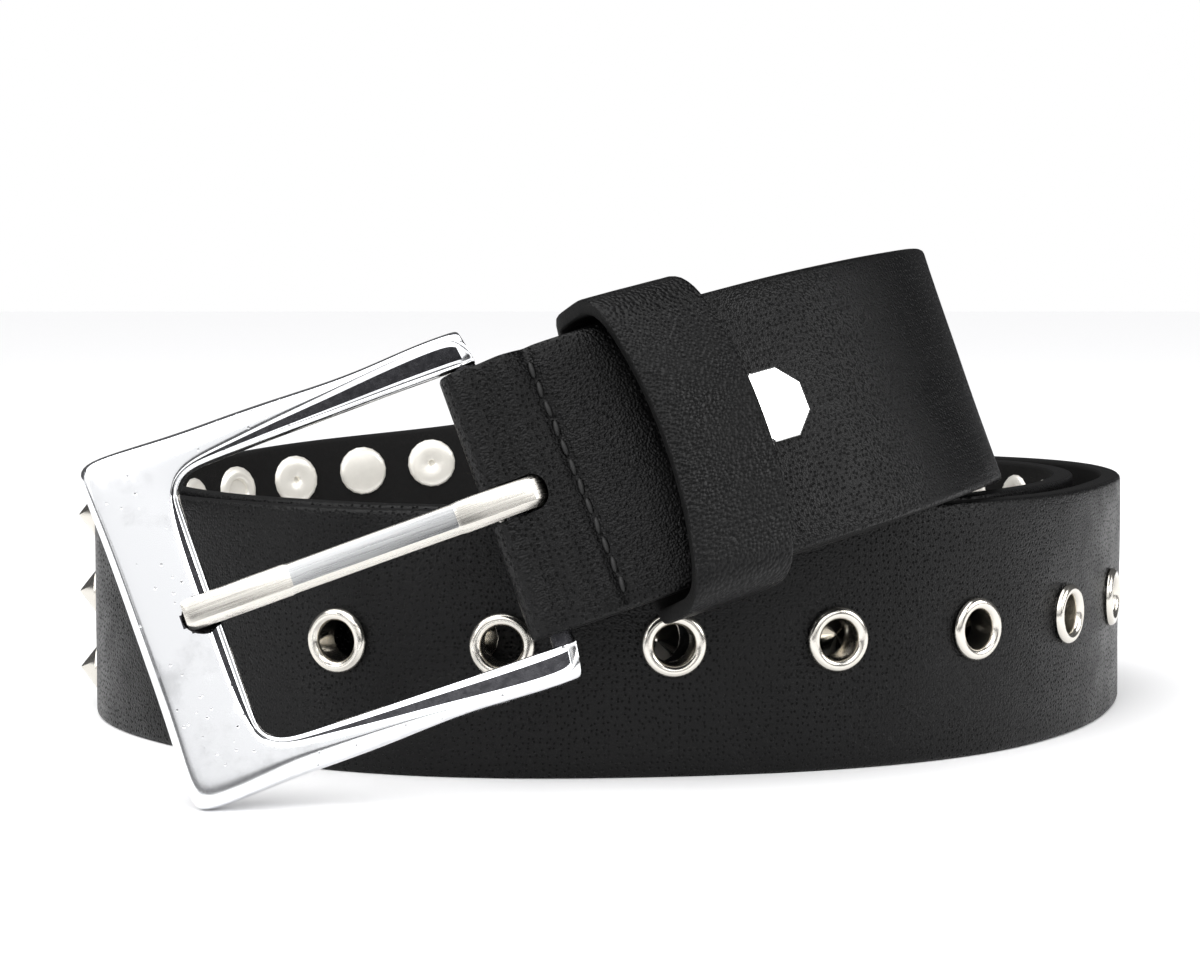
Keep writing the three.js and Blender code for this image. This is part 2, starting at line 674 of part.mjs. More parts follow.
function eyelet(frame) {
  const bore = EYELET_BORE_RADIUS;
  const tube = bore + EYELET_WALL;
  const front = OUTER_HALF + SEAT_GAP;
  const back = -OUTER_HALF - SEAT_GAP;
  const profile = [
    [tube, front], [EYELET_FLANGE_RADIUS, front],
    [EYELET_FLANGE_RADIUS - EYELET_OUTER_ROUND, front + EYELET_DOME * 0.7],
    [EYELET_FLANGE_RADIUS - EYELET_CROWN_IN, front + EYELET_DOME],
    [bore + EYELET_INNER_ROUND, front + EYELET_DOME * 0.75],
    [bore, front + EYELET_DOME * 0.1], [bore, back - EYELET_BACK_HEIGHT],
    [EYELET_BACK_RADIUS, back - EYELET_BACK_HEIGHT], [EYELET_BACK_RADIUS, back], [tube, back],
  ].map(([x, y]) => new THREE.Vector2(x, y));
  profile.push(profile[0].clone());
  const ring = new THREE.LatheGeometry(profile, EYELET_SIDES);
  ring.rotateX(Math.PI / 2);
  return geometryOf(solidOf(ring.applyMatrix4(matrixOf(frame))));
}

// Assembly

const MATERIALS = {
  leather: new THREE.MeshStandardMaterial({ color: 0x18181a, roughness: 0.6, metalness: 0 }),
  chrome: new THREE.MeshStandardMaterial({ color: 0xdcdcdf, roughness: 0.12, metalness: 1 }),
  steel: new THREE.MeshStandardMaterial({ color: 0xb9b5ac, roughness: 0.35, metalness: 1 }),
  nickel: new THREE.MeshStandardMaterial({ color: 0xd0c8b8, roughness: 0.28, metalness: 1 }),
};

const belt = new THREE.Group();

function place(name, geometry, material) {
  const mesh = new THREE.Mesh(geometry, MATERIALS[material]);
  mesh.name = name;
  belt.add(mesh);
}

place('studded_strap', studdedStrap(), 'leather');
place('buckle_frame', buckleFrame(), 'chrome');
place('buckle_prong', buckleProng(), 'steel');
place('keeper', keeper(), 'leather');
place('lap_rivet', lapRivet(), 'nickel');
for (let i = 0; i < EYELET_COUNT; i += 1) {
  place(`eyelet_${i + 1}`, eyelet(frameAtLength(FIRST_EYELET + i * EYELET_PITCH)), 'nickel');
}

const bounds = new THREE.Box3().setFromObject(belt);
const centre = bounds.getCenter(new THREE.Vector3());
belt.position.set(-centre.x, -centre.y, -bounds.min.z);
belt.updateMatrixWorld(true);

export default belt;
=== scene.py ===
# %% [markdown]
# A studded leather belt, rolled up and standing on its edge. The solids of the belt come from the
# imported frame, and this notebook dresses them: leather, studs, eyelets, keeper, buckle and prong.
# Every piece is first modelled flat or in its own plane, where it is simple, and then put in place.

import bisect
import math
import random

import bmesh
import bpy
from mathutils import Matrix, Vector, noise


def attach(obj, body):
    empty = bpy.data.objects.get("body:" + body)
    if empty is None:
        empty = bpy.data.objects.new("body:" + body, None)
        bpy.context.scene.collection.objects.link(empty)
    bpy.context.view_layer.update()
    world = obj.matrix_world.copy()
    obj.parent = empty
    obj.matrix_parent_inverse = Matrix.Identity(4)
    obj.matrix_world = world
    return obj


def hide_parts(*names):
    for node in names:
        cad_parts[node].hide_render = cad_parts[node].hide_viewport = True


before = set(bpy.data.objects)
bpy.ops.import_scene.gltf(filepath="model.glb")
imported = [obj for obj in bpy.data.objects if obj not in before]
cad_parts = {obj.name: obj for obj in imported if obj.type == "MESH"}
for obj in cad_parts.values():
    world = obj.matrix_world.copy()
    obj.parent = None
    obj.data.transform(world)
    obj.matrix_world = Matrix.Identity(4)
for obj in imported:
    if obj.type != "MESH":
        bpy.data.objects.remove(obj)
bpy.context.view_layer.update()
MM = 0.001
random.seed(7)

# %% [markdown]
# The camera comes first. A photo's viewing angle can be worked out from straight edges of a known
# size. Here the strip's two long edges give the distance, and how far the lower one sinks at the
# front gives the height. The long lens keeps the roll from looking stretched, as it does in a
# product photo.

# %% Camera
BELT_SHIFT = Vector((-1.2817, -52.2964, 0.0))
CAMERA_PLACE = Vector((0.0, -364.0, 70.0))
CAMERA_PITCH = 4.33
CAMERA_LENS = 78.0

camera_data = bpy.data.cameras.new("camera")
camera_data.lens = CAMERA_LENS
camera_data.sensor_width = 36.0
camera_data.sensor_fit = "HORIZONTAL"
camera_data.clip_start = 0.01
camera_data.clip_end = 20.0
camera = bpy.data.objects.new("camera", camera_data)
camera.location = (CAMERA_PLACE + BELT_SHIFT) * MM
camera.rotation_euler = (math.radians(90.0 - CAMERA_PITCH), 0.0, 0.0)
bpy.context.scene.collection.objects.link(camera)
bpy.context.scene.camera = camera
print("camera at", [round(x, 4) for x in camera.location])

# %% [markdown]
# The route of the strip. A belt is one long ribbon, so every piece on it can be placed by how far
# along the ribbon it lies. A short table gives the ribbon's distance from the roll's middle every
# thirty degrees, and a cubic B-spline runs smoothly between the rows. That is the same curve as in
# the solids, so leather and hardware land where the frame has them.

# %% Sizes of the strip
STRAP_WIDTH = 38.0
STRAP_THICKNESS = 3.5
LAP_THICKNESS = 2.4
FOLD_THICKNESS = 2.0
LAP_LENGTH = 56.0
LAP_GAP = 0.3
SEAT_GAP = 0.3
SKIVE_LENGTH = 11.0
BAR_RADIUS = 1.6
TIP_LENGTH = 110.0
TIP_ROUND = 13.0
STUD_PITCH = 12.87
STUD_ROW_GAP = 12.7
STUD_RADIUS = 4.0
STUD_HEIGHT = 3.2
STUD_BACK_HEIGHT = 0.8
FIRST_STUD = 137.0
LAST_STUD_TO_EYELET = 77.2
EYELET_COUNT = 7
EYELET_PITCH = 24.0
EYELET_TURN = -35.5
KEEPER_THICKNESS = 2.2
LAYER_CLEARANCE = 0.9
HALF_THICK = STRAP_THICKNESS / 2
HALF_WIDE = STRAP_WIDTH / 2
print("strip section", STRAP_WIDTH, "by", STRAP_THICKNESS, "mm")

# %% Tables of the roll
COIL_RADIUS = 80.0
COIL_MIDDLE = (2.0, 62.0)
ROW_STEP = 30
INNER_TURN = -450
OUTER_TURN = 210
FOLD_TURN = -730.3
LEVEL_LIFT = 0.5
OUTLINE = {
    0: 0.792, 30: 0.82, 60: 0.928, 90: 1.023, 120: 1.261, 150: 0.939,
    180: 0.741, 210: 0.855, 240: 1.114, 270: 1.166, 300: 0.986, 330: 0.9,
}
RUN_COLUMNS = ("turn", "reach", "stand", "lift", "lean", "back")
BUCKLE_RUN = [
    (-780, 1.081, 1.0, 0.2, 20.5, 4.0),
    (-750, 0.935, 1.0, 0.8, 20.5, 7.0),
    (-720, 0.817, 1.0, 1.232, 21.0, 10.0),
    (-690, 0.775, 0.5, 1.454, 20.5, 14.0),
    (-660, 0.735, 0.0, 1.531, 18.5, 15.0),
    (-630, 0.637, 0.0, 1.447, 16.5, 13.5),
    (-600, 0.531, 0.0, 1.263, 15.0, 10.5),
    (-570, 0.441, 0.0, 1.041, 14.0, 7.0),
    (-540, 0.42, 0.0, 0.833, 13.0, 4.0),
    (-510, 0.522, 0.0, 0.683, 11.0, 2.0),
    (-480, 0.776, 0.0, 0.617, 7.0, 1.0),
]
LAYER_PITCH = STRAP_THICKNESS + STUD_HEIGHT + STUD_BACK_HEIGHT + LAYER_CLEARANCE
FRONT_STAND = STRAP_THICKNESS + 2 * SEAT_GAP + KEEPER_THICKNESS + LAP_THICKNESS + LAP_GAP


def roll_rows():
    """Rows of (reach, lift, lean, back), one every thirty degrees of turn."""
    rows = []
    for values in BUCKLE_RUN:
        row = dict(zip(RUN_COLUMNS, values))
        reach = row["reach"] * COIL_RADIUS + row["stand"] * FRONT_STAND
        rows.append((reach, row["lift"], row["lean"], row["back"]))
    for turn in range(INNER_TURN, OUTER_TURN + 1, ROW_STEP):
        reach = OUTLINE[turn % 360] * COIL_RADIUS - LAYER_PITCH * (OUTER_TURN - turn) / 360
        rows.append((reach, LEVEL_LIFT, 0.0, 0.0))
    return rows


ROWS = roll_rows()
FIRST_TURN = BUCKLE_RUN[0][0]
print(len(ROWS), "rows in the roll")


# %% Smooth route between the rows
def row_at(turn):
    """Each column of the table at any turn, by a uniform cubic B-spline."""
    place = (turn - FIRST_TURN) / ROW_STEP
    base = min(max(math.floor(place), 1), len(ROWS) - 3)
    u = place - base
    weights = (
        (1 - u) ** 3 / 6,
        (3 * u**3 - 6 * u**2 + 4) / 6,
        (-3 * u**3 + 3 * u**2 + 3 * u + 1) / 6,
        u**3 / 6,
    )
    near = ROWS[base - 1 : base + 3]
    return [sum(w * row[k] for w, row in zip(weights, near)) for k in range(4)]


def route_point(turn):
    """Middle of the strip at a turn, in mm in the roll's own frame."""
    reach, lift, _, _ = row_at(turn)
    angle = math.radians(turn)
    x = COIL_MIDDLE[0] + reach * math.sin(angle)
    y = COIL_MIDDLE[1] - reach * math.cos(angle)
    return Vector((x, y, lift * STRAP_WIDTH))


def route_frame(turn):
    """Point p and directions t along the strip, w across it, n out of its studded face."""
    nudge = 0.5
    _, _, lean, back = row_at(turn)
    t = (route_point(turn + nudge) - route_point(turn - nudge)).normalized()
    w = Vector((-math.tan(math.radians(lean)), math.tan(math.radians(back)), 1.0))
    w = (w - t * w.dot(t)).normalized()
    return route_point(turn), t, w, t.cross(w)


TRACE_STEP = 0.5
TRACE_TURNS = [FOLD_TURN]
TRACE_LENGTHS = [0.0]
while TRACE_TURNS[-1] < OUTER_TURN - ROW_STEP:
    step = route_point(TRACE_TURNS[-1] + TRACE_STEP) - route_point(TRACE_TURNS[-1])
    TRACE_LENGTHS.append(TRACE_LENGTHS[-1] + step.length)
    TRACE_TURNS.append(TRACE_TURNS[-1] + TRACE_STEP)


def frame_at(length):
    """Frame of the strip at a length from the buckle's bar."""
    i = min(max(bisect.bisect(TRACE_LENGTHS, length), 1), len(TRACE_LENGTHS) - 1)
    a, b = TRACE_LENGTHS[i - 1], TRACE_LENGTHS[i]
    return route_frame(TRACE_TURNS[i - 1] + TRACE_STEP * (length - a) / (b - a))


def length_at(turn):
    """Length from the bar at a turn."""
    return TRACE_LENGTHS[round((turn - FOLD_TURN) / TRACE_STEP)]


FIRST_EYELET = length_at(EYELET_TURN)
STRAP_END = FIRST_EYELET + (EYELET_COUNT - 1) * EYELET_PITCH + TIP_LENGTH
LAST_STUD = FIRST_EYELET - LAST_STUD_TO_EYELET
print("bar to tip", round(STRAP_END), "mm, first eyelet at", round(FIRST_EYELET), "mm")


# %% Helpers that turn a bmesh into a named piece
def matrix_of(p, t, w, n):
    """Places a shape drawn in mm with x along t, y along w and z along n, in metres."""
    rows = Matrix((t, w, n)).transposed().to_4x4()
    return Matrix.Translation((p + BELT_SHIFT) * MM) @ rows @ Matrix.Scale(MM, 4)


def seat(length, across=0.0):
    """Matrix of a place on the strip's middle surface."""
    p, t, w, n = frame_at(length)
    return matrix_of(p + w * across, t, w, n)


def finish_piece(name, bm, body, replaced, materials, smooth_angle=40.0):
    """Makes the object, shades it, hangs it on its body's empty and hides the solids it replaces."""
    mesh = bpy.data.meshes.new(name)
    bm.to_mesh(mesh)
    bm.free()
    for material in materials:
        mesh.materials.append(material)
    mesh.shade_smooth()
    mesh.set_sharp_from_angle(angle=math.radians(smooth_angle))
    piece = bpy.data.objects.new(name, mesh)
    bpy.context.scene.collection.objects.link(piece)
    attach(piece, body)
    if replaced:
        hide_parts(*replaced)
    print(name, len(mesh.polygons), "faces")
    return piece


def smooth(u):
    """Eases from 0 to 1."""
    v = min(max(u, 0.0), 1.0)
    return v * v * (3 - 2 * v)


def mix(a, b, share):
    """Value between a and b."""
    return a + (b - a) * share


def round_edges(bm, edges, size, segments, clamp=False):
    """Bevels edges to a round."""
    bmesh.ops.bevel(bm, geom=edges, offset=size, affect="EDGES", segments=segments, profile=0.5,
                    material=-1, clamp_overlap=clamp)


def add_cone(bm, sides, low, high, depth, matrix):
    """A closed cone or cylinder round z, with its low and high radius. Gives its vertices."""
    made = bmesh.ops.create_cone(bm, cap_ends=True, segments=sides, radius1=low, radius2=high,
                                 depth=depth, matrix=matrix)
    return made["verts"]


# %% [markdown]
# Leather has pores where hair grew, a fine grain between them, and soft creases. The same pores and
# grain show on the strip and on the keeper with other sizes, so they are one node group with named
# inputs. It puts out a height for a Bump node and a pore mask, which dulls the gloss and darkens the
# colour as painted shade in the pits. The pattern follows a UV map laid out in metres on the flat
# strip, so it bends with the leather.

# %% Node helpers
def feed(tree, node, values):
    """Sets a node's inputs, each to a number or colour or by a link from a socket."""
    for key, value in values.items():
        if isinstance(value, bpy.types.NodeSocket):
            tree.links.new(value, node.inputs[key])
        else:
            node.inputs[key].default_value = value


def new_group(name, numbers, outputs):
    """A shader node group with a Vector input, number inputs and number outputs."""
    group = bpy.data.node_groups.new(name, "ShaderNodeTree")
    new_socket = group.interface.new_socket
    new_socket(name="Vector", in_out="INPUT", socket_type="NodeSocketVector")
    for label, value in numbers.items():
        socket = new_socket(name=label, in_out="INPUT", socket_type="NodeSocketFloat")
        socket.default_value = value
    for label in outputs:
        new_socket(name=label, in_out="OUTPUT", socket_type="NodeSocketFloat")
    return group, group.nodes.new("NodeGroupInput").outputs, group.nodes.new("NodeGroupOutput")


def use_group(tree, group, values):
    """Outputs of a node that uses a group."""
    node = tree.nodes.new("ShaderNodeGroup")
    node.node_tree = group
    feed(tree, node, values)
    return node.outputs


def math_node(tree, operation, first, second=None, clamp=False):
    """One Math node. Each input is a number or a socket."""
    node = tree.nodes.new("ShaderNodeMath")
    node.operation = operation
    node.use_clamp = clamp
    feed(tree, node, {0: first} if second is None else {0: first, 1: second})
    return node.outputs[0]


def spread(tree, value, low, high, to_low=0.0, to_high=1.0):
    """A Map Range node with a smooth step."""
    node = tree.nodes.new("ShaderNodeMapRange")
    node.interpolation_type = "SMOOTHSTEP"
    ends = {"From Min": low, "From Max": high, "To Min": to_low, "To Max": to_high}
    feed(tree, node, {"Value": value, **ends})
    return node.outputs["Result"]


def noise_node(tree, vector, scale, detail=4.0, rough=0.55):
    """A Noise Texture's value on a vector."""
    node = tree.nodes.new("ShaderNodeTexNoise")
    feed(tree, node, {"Vector": vector, "Scale": scale, "Detail": detail, "Roughness": rough})
    return node.outputs["Fac"]


def voronoi_node(tree, vector, scale, dimensions="3D", randomness=1.0):
    """A Voronoi Texture's distance on a vector, flat (2D) for a UV map."""
    node = tree.nodes.new("ShaderNodeTexVoronoi")
    node.voronoi_dimensions = dimensions
    feed(tree, node, {"Vector": vector, "Scale": scale, "Randomness": randomness})
    return node.outputs["Distance"]


# %% Node group: pores and grain of a hide
PORE_SPREAD = 0.7
PORE_RIM, PORE_BOTTOM = 0.25, 0.1
PATCH_SCALE = 60.0
CREASE_SCALE, CREASE_HALF = 220.0, 0.05
hide_numbers = {"Pore Scale": 900.0, "Pore Depth": 1.0, "Grain Scale": 1600.0, "Grain Depth": 0.5,
                "Crease Depth": 0.3}
hide_group, hide_in, hide_out = new_group("hide_grain", hide_numbers, ["Height", "Pores"])
hide_vector = hide_in["Vector"]
pore_distance = voronoi_node(hide_group, hide_vector, hide_in["Pore Scale"], "2D", PORE_SPREAD)
pore_pit = spread(hide_group, pore_distance, PORE_BOTTOM, PORE_RIM, 1.0, 0.0)
patch_noise = noise_node(hide_group, hide_vector, PATCH_SCALE)
pore_patch = spread(hide_group, patch_noise, 0.36, 0.6, 0.4, 1.0)
pores = math_node(hide_group, "MULTIPLY", pore_pit, pore_patch)
grain_cells = voronoi_node(hide_group, hide_vector, hide_in["Grain Scale"], "2D")
crease_noise = noise_node(hide_group, hide_vector, CREASE_SCALE, 5.0, 0.6)
off_middle = math_node(hide_group, "SUBTRACT", crease_noise, 0.5)
crease_line = math_node(hide_group, "ABSOLUTE", off_middle)
crease = spread(hide_group, crease_line, 0.0, CREASE_HALF, 1.0, 0.0)
hide_height = 1.0
for part, depth in ((pores, "Pore Depth"), (grain_cells, "Grain Depth"), (crease, "Crease Depth")):
    pit = math_node(hide_group, "MULTIPLY", part, hide_in[depth])
    hide_height = math_node(hide_group, "SUBTRACT", hide_height, pit)
feed(hide_group, hide_out, {"Height": hide_height, "Pores": pores})
print("hide_grain has", len(hide_group.nodes), "nodes")


# %% Leather materials
LEATHER_SPECULAR, FIBRE_SPECULAR = 0.2, 0.2
PORE_DULLING = 0.45


def place_vector(tree, source, scale=(1.0, 1.0, 1.0)):
    """Texture coordinates through a Mapping node: source is UV or Object."""
    coordinates = tree.nodes.new("ShaderNodeTexCoord")
    mapping = tree.nodes.new("ShaderNodeMapping")
    feed(tree, mapping, {"Vector": coordinates.outputs[source], "Scale": scale})
    return mapping.outputs["Vector"]


def new_material(name):
    """A material with its shader, ready for links."""
    material = bpy.data.materials.new(name)
    material.use_nodes = True
    return material, material.node_tree, material.node_tree.nodes["Principled BSDF"]


def colour_between(tree, factor, first, second):
    """A Mix node between two colours, each three numbers or a socket."""
    node = tree.nodes.new("ShaderNodeMix")
    node.data_type = "RGBA"
    ends = [end if isinstance(end, bpy.types.NodeSocket) else (*end, 1.0) for end in (first, second)]
    feed(tree, node, {"Factor": factor, "A": ends[0], "B": ends[1]})
    return node.outputs["Result"]


def bump(tree, shader, height, strength, distance):
    """A Bump node into the shader's normal."""
    node = tree.nodes.new("ShaderNodeBump")
    feed(tree, node, {"Strength": strength, "Distance": distance, "Height": height})
    tree.links.new(node.outputs["Normal"], shader.inputs["Normal"])


def hide_material(name, values, dark, light, rough, strength):
    """Grain-side leather. values sets the group's inputs."""
    material, tree, shader = new_material(name)
    vector = place_vector(tree, "UV")
    hide = use_group(tree, hide_group, {"Vector": vector, **values})
    patches = spread(tree, noise_node(tree, vector, 45.0, 5.0, 0.6), 0.3, 0.75, 0.35, 1.0)
    # colour: random patches of tone, with the pores painted darker as painted shade in their pits
    shade = math_node(tree, "MULTIPLY", patches, math_node(tree, "SUBTRACT", 1.0, hide["Pores"]))
    gloss_noise = noise_node(tree, vector, 130.0, 3.0)
    gloss = spread(tree, gloss_noise, 0.3, 0.7, rough - 0.06, rough + 0.06)
    dull_pores = math_node(tree, "MULTIPLY", hide["Pores"], PORE_DULLING)
    feed(tree, shader, {
        "Base Color": colour_between(tree, shade, dark, light),
        "Roughness": math_node(tree, "ADD", gloss, dull_pores),
        "Specular IOR Level": LEATHER_SPECULAR,
    })
    bump(tree, shader, hide["Height"], strength, 0.00022)
    return material


hide_dark, hide_light = (0.0002, 0.0002, 0.0002), (0.0013, 0.0013, 0.0015)
strip_values = {"Pore Scale": 1050.0, "Pore Depth": 1.3, "Grain Scale": 3000.0, "Grain Depth": 0.3,
                "Crease Depth": 0.12}
strip_leather = hide_material("strip_leather", strip_values, hide_dark, hide_light, 0.36, 1.0)
keeper_dark = (0.0003, 0.0003, 0.0003)
keeper_values = {"Pore Scale": 900.0, "Pore Depth": 0.3, "Grain Scale": 1900.0, "Grain Depth": 0.9,
                 "Crease Depth": 0.1}
keeper_leather = hide_material("keeper_leather", keeper_values, keeper_dark, hide_light, 0.38, 0.8)


def fibre_material(name, light, rough, strength):
    """Cut edges and flesh side: short matted fibres, no pores."""
    material, tree, shader = new_material(name)
    fibres = noise_node(tree, place_vector(tree, "Object"), 1500.0, 6.0, 0.75)
    feed(tree, shader, {
        "Base Color": colour_between(tree, fibres, (0.001, 0.001, 0.001), light),
        "Roughness": rough,
        "Specular IOR Level": FIBRE_SPECULAR,
    })
    bump(tree, shader, fibres, strength, 0.0003)
    return material


edge_leather = fibre_material("edge_leather", (0.006, 0.006, 0.006), 0.6, 0.5)
flesh_leather = fibre_material("flesh_leather", (0.007, 0.0065, 0.0065), 0.8, 0.6)
print("leather materials ready")

# %% [markdown]
# Metal finishes. Chrome is nearly a mirror, but a used casting has tiny pits, cloudy scuffs and a
# rougher skin where the polishing wheel did not reach, on the frame's inner facet, notch and bar;
# that skin's near-black colour is painted shade. The prong is satin steel with brush marks along it.
# Studs and eyelets are warm nickel. One group of nodes makes pits and scuffs for all of them, and
# each material sets how many.

# %% Node group: pits and scuffs of worn metal
PIT_RIM, PIT_BOTTOM = 0.16, 0.05
PIT_FIELD_SCALE, PIT_CONTRAST = 140.0, 8.0
wear_numbers = {"Pit Scale": 700.0, "Pit Amount": 0.5, "Scuff Scale": 120.0}
wear_group, wear_in, wear_out = new_group("metal_wear", wear_numbers, ["Pits", "Scuffs"])
pit_distance = voronoi_node(wear_group, wear_in["Vector"], wear_in["Pit Scale"])
pit_spot = spread(wear_group, pit_distance, PIT_BOTTOM, PIT_RIM, 1.0, 0.0)
pit_field = noise_node(wear_group, wear_in["Vector"], PIT_FIELD_SCALE, 3.0)
pit_sum = math_node(wear_group, "ADD", pit_field, wear_in["Pit Amount"])
pit_gate = math_node(wear_group, "SUBTRACT", pit_sum, 1.0)
pit_share = math_node(wear_group, "MULTIPLY", pit_gate, PIT_CONTRAST, True)
pit_few = math_node(wear_group, "MULTIPLY", pit_spot, pit_share)
scuff_noise = noise_node(wear_group, wear_in["Vector"], wear_in["Scuff Scale"], 8.0, 0.7)
feed(wear_group, wear_out, {"Pits": pit_few, "Scuffs": spread(wear_group, scuff_noise, 0.5, 0.75)})
print("metal_wear has", len(wear_group.nodes), "nodes")


# %% Metal materials
def metal_material(name, colour, dull, rough, scuffed, pits, pit_depth, cloud=1.0, metallic=1.0):
    """A plated metal. dull is the colour in its pits, rough to scuffed its roughness, and cloud
    how dark its cloudy patches get."""
    material, tree, shader = new_material(name)
    vector = place_vector(tree, "Object")
    wear = use_group(tree, wear_group, {"Vector": vector, "Pit Amount": pits})
    patches = spread(tree, noise_node(tree, vector, 75.0, 7.0, 0.62), 0.48, 0.68)
    plain = colour_between(tree, patches, colour, tuple(channel * cloud for channel in colour))
    feed(tree, shader, {
        "Metallic": metallic,
        "Base Color": colour_between(tree, wear["Pits"], plain, dull),
        "Roughness": spread(tree, wear["Scuffs"], 0.0, 1.0, rough, scuffed),
    })
    bump(tree, shader, math_node(tree, "SUBTRACT", 1.0, wear["Pits"]), pit_depth, 0.0002)
    return material


worn_brass = (0.2, 0.18, 0.15)
chrome = metal_material("chrome", (0.9, 0.91, 0.93), (0.1, 0.1, 0.1), 0.13, 0.27, 0.5, 0.45, 0.78)
nickel = metal_material("nickel", (0.72, 0.69, 0.63), worn_brass, 0.2, 0.34, 0.4, 0.3)
cap_nickel = metal_material("cap_nickel", (0.95, 0.95, 0.94), (0.3, 0.3, 0.3), 0.16, 0.26, 0.2, 0.1)
# stud backs: a lighter, partly diffuse copy of the nickel, its brightness painted for the light they
# catch
back_nickel_painted_bright = metal_material("back_nickel_painted_bright", (0.95, 0.92, 0.85), worn_brass, 0.3, 0.42, 0.3, 0.3,
                             0.9, 0.35)


def textured_metal(name, source, scale, noise_values, dark, light, rough, strength, distance):
    """A metal whose colour, gloss and relief all follow one noise. rough is (low, high)."""
    material, tree, shader = new_material(name)
    marks = noise_node(tree, place_vector(tree, source, scale), *noise_values)
    feed(tree, shader, {
        "Metallic": 1.0,
        "Base Color": colour_between(tree, marks, dark, light),
        "Roughness": spread(tree, marks, 0.3, 0.7, *rough),
    })
    bump(tree, shader, marks, strength, distance)
    return material


def brushed_material(name, dark, light, rough):
    """Satin steel with brush marks along the prong, drawn on its own UV map."""
    return textured_metal(name, "UV", (60.0, 2600.0, 1.0), (1.0, 5.0, 0.65), dark, light,
                          (rough - 0.05, rough + 0.07), 0.25, 0.00008)


# the inner facet, notch and bar of the frame: rough granular plating, painted near black as shade
rough_skin_painted_shade = textured_metal("rough_skin_painted_shade", "Object", (1.0, 1.0, 1.0), (900.0, 6.0, 0.7),
                           (0.003, 0.003, 0.005), (0.07, 0.07, 0.075), (0.38, 0.16), 0.55, 0.0004)
satin_steel = brushed_material("satin_steel", (0.5, 0.48, 0.44), (0.86, 0.83, 0.77), 0.26)
ground_steel = brushed_material("ground_steel", (0.26, 0.27, 0.28), (0.6, 0.6, 0.6), 0.28)
print("metal materials ready")

# %% [markdown]
# The leather strip. A belt is cut flat, punched, folded round the bar and then rolled, and the model
# follows that order. A box with beveled edges is the blank, a Boolean punches the holes while it is
# still flat, and only then each vertex is carried from its flat place to the same place on the roll.
# Bending a finished flat piece is easier than sculpting a spiral, and the grain comes out even.

# %% Stations: flat length to place on the roll
FOLD_P, FOLD_T, FOLD_W, FOLD_N = frame_at(0.0)
LAP_OFFSET = -(HALF_THICK + LAP_GAP + LAP_THICKNESS / 2)
BAR_OFFSET = -(HALF_THICK + LAP_GAP / 2)
EYE_RADIUS = BAR_RADIUS + SEAT_GAP + FOLD_THICKNESS / 2
BAR_POINT = FOLD_P + FOLD_N * BAR_OFFSET
STATION_STEP = 0.8


def strip_stations():
    """Rows of (point, w, n, thickness, length from the bar) from the lap's end to the tip."""
    rows = []
    s = LAP_LENGTH
    while s > EYE_RADIUS:
        p, t, w, n = frame_at(s)
        ease = 1 - smooth((s - EYE_RADIUS) / SKIVE_LENGTH)
        offset = mix(LAP_OFFSET, BAR_OFFSET - EYE_RADIUS, ease * 0.8)
        rows.append((p + n * offset, w, -n, mix(LAP_THICKNESS, FOLD_THICKNESS, ease), -s))
        s -= STATION_STEP
    bends = 24
    for i in range(bends + 1):
        angle = -math.pi / 2 - math.pi * i / bends
        out = FOLD_T * math.cos(angle) + FOLD_N * math.sin(angle)
        rows.append((BAR_POINT + out * EYE_RADIUS, FOLD_W, out, FOLD_THICKNESS, 0.0))
    s = EYE_RADIUS * 0.35
    while s < STRAP_END + STATION_STEP:
        p, t, w, n = frame_at(s)
        ease = smooth(s / (SKIVE_LENGTH * 0.7))
        thick = mix(FOLD_THICKNESS, STRAP_THICKNESS, smooth(s / SKIVE_LENGTH))
        rows.append((p + n * mix(BAR_OFFSET + EYE_RADIUS, 0.0, ease), w, n, thick, s))
        s += STATION_STEP
    return rows


STATIONS = strip_stations()
STATION_PLACES = [0.0]
for before, after in zip(STATIONS, STATIONS[1:]):
    STATION_PLACES.append(STATION_PLACES[-1] + (after[0] - before[0]).length)
FOLD_START = next(u for u, row in zip(STATION_PLACES, STATIONS) if row[4] == 0.0)
OUTER_START = next(u for u, row in zip(STATION_PLACES, STATIONS) if row[4] > 0.0)
OUTER_ZERO = OUTER_START - EYE_RADIUS * 0.35
FLAT_LENGTH = OUTER_ZERO + STRAP_END
print("flat length of the strip", round(FLAT_LENGTH), "mm")


def on_roll(u, c, b, thickness=STRAP_THICKNESS):
    """Carries a flat point to the roll, in metres. b is measured in a blank of that thickness."""
    i = min(max(bisect.bisect(STATION_PLACES, u), 1), len(STATIONS) - 1)
    low, high = STATION_PLACES[i - 1], STATION_PLACES[i]
    share = (u - low) / (high - low)
    (p0, w0, n0, t0, _), (p1, w1, n1, t1, _) = STATIONS[i - 1], STATIONS[i]
    p = p0.lerp(p1, share)
    w = w0.lerp(w1, share)
    n = n0.lerp(n1, share).normalized()
    return (p + w * c + n * (b * mix(t0, t1, share) / thickness) + BELT_SHIFT) * MM


# %% The flat blank
STRIP_CUT = 1.6
FINE_CUT = 0.45
FINE_BACK, FINE_FRONT = 3.0, 16.0
WIDTH_CUTS = 11
EDGE_ROUND = 0.75


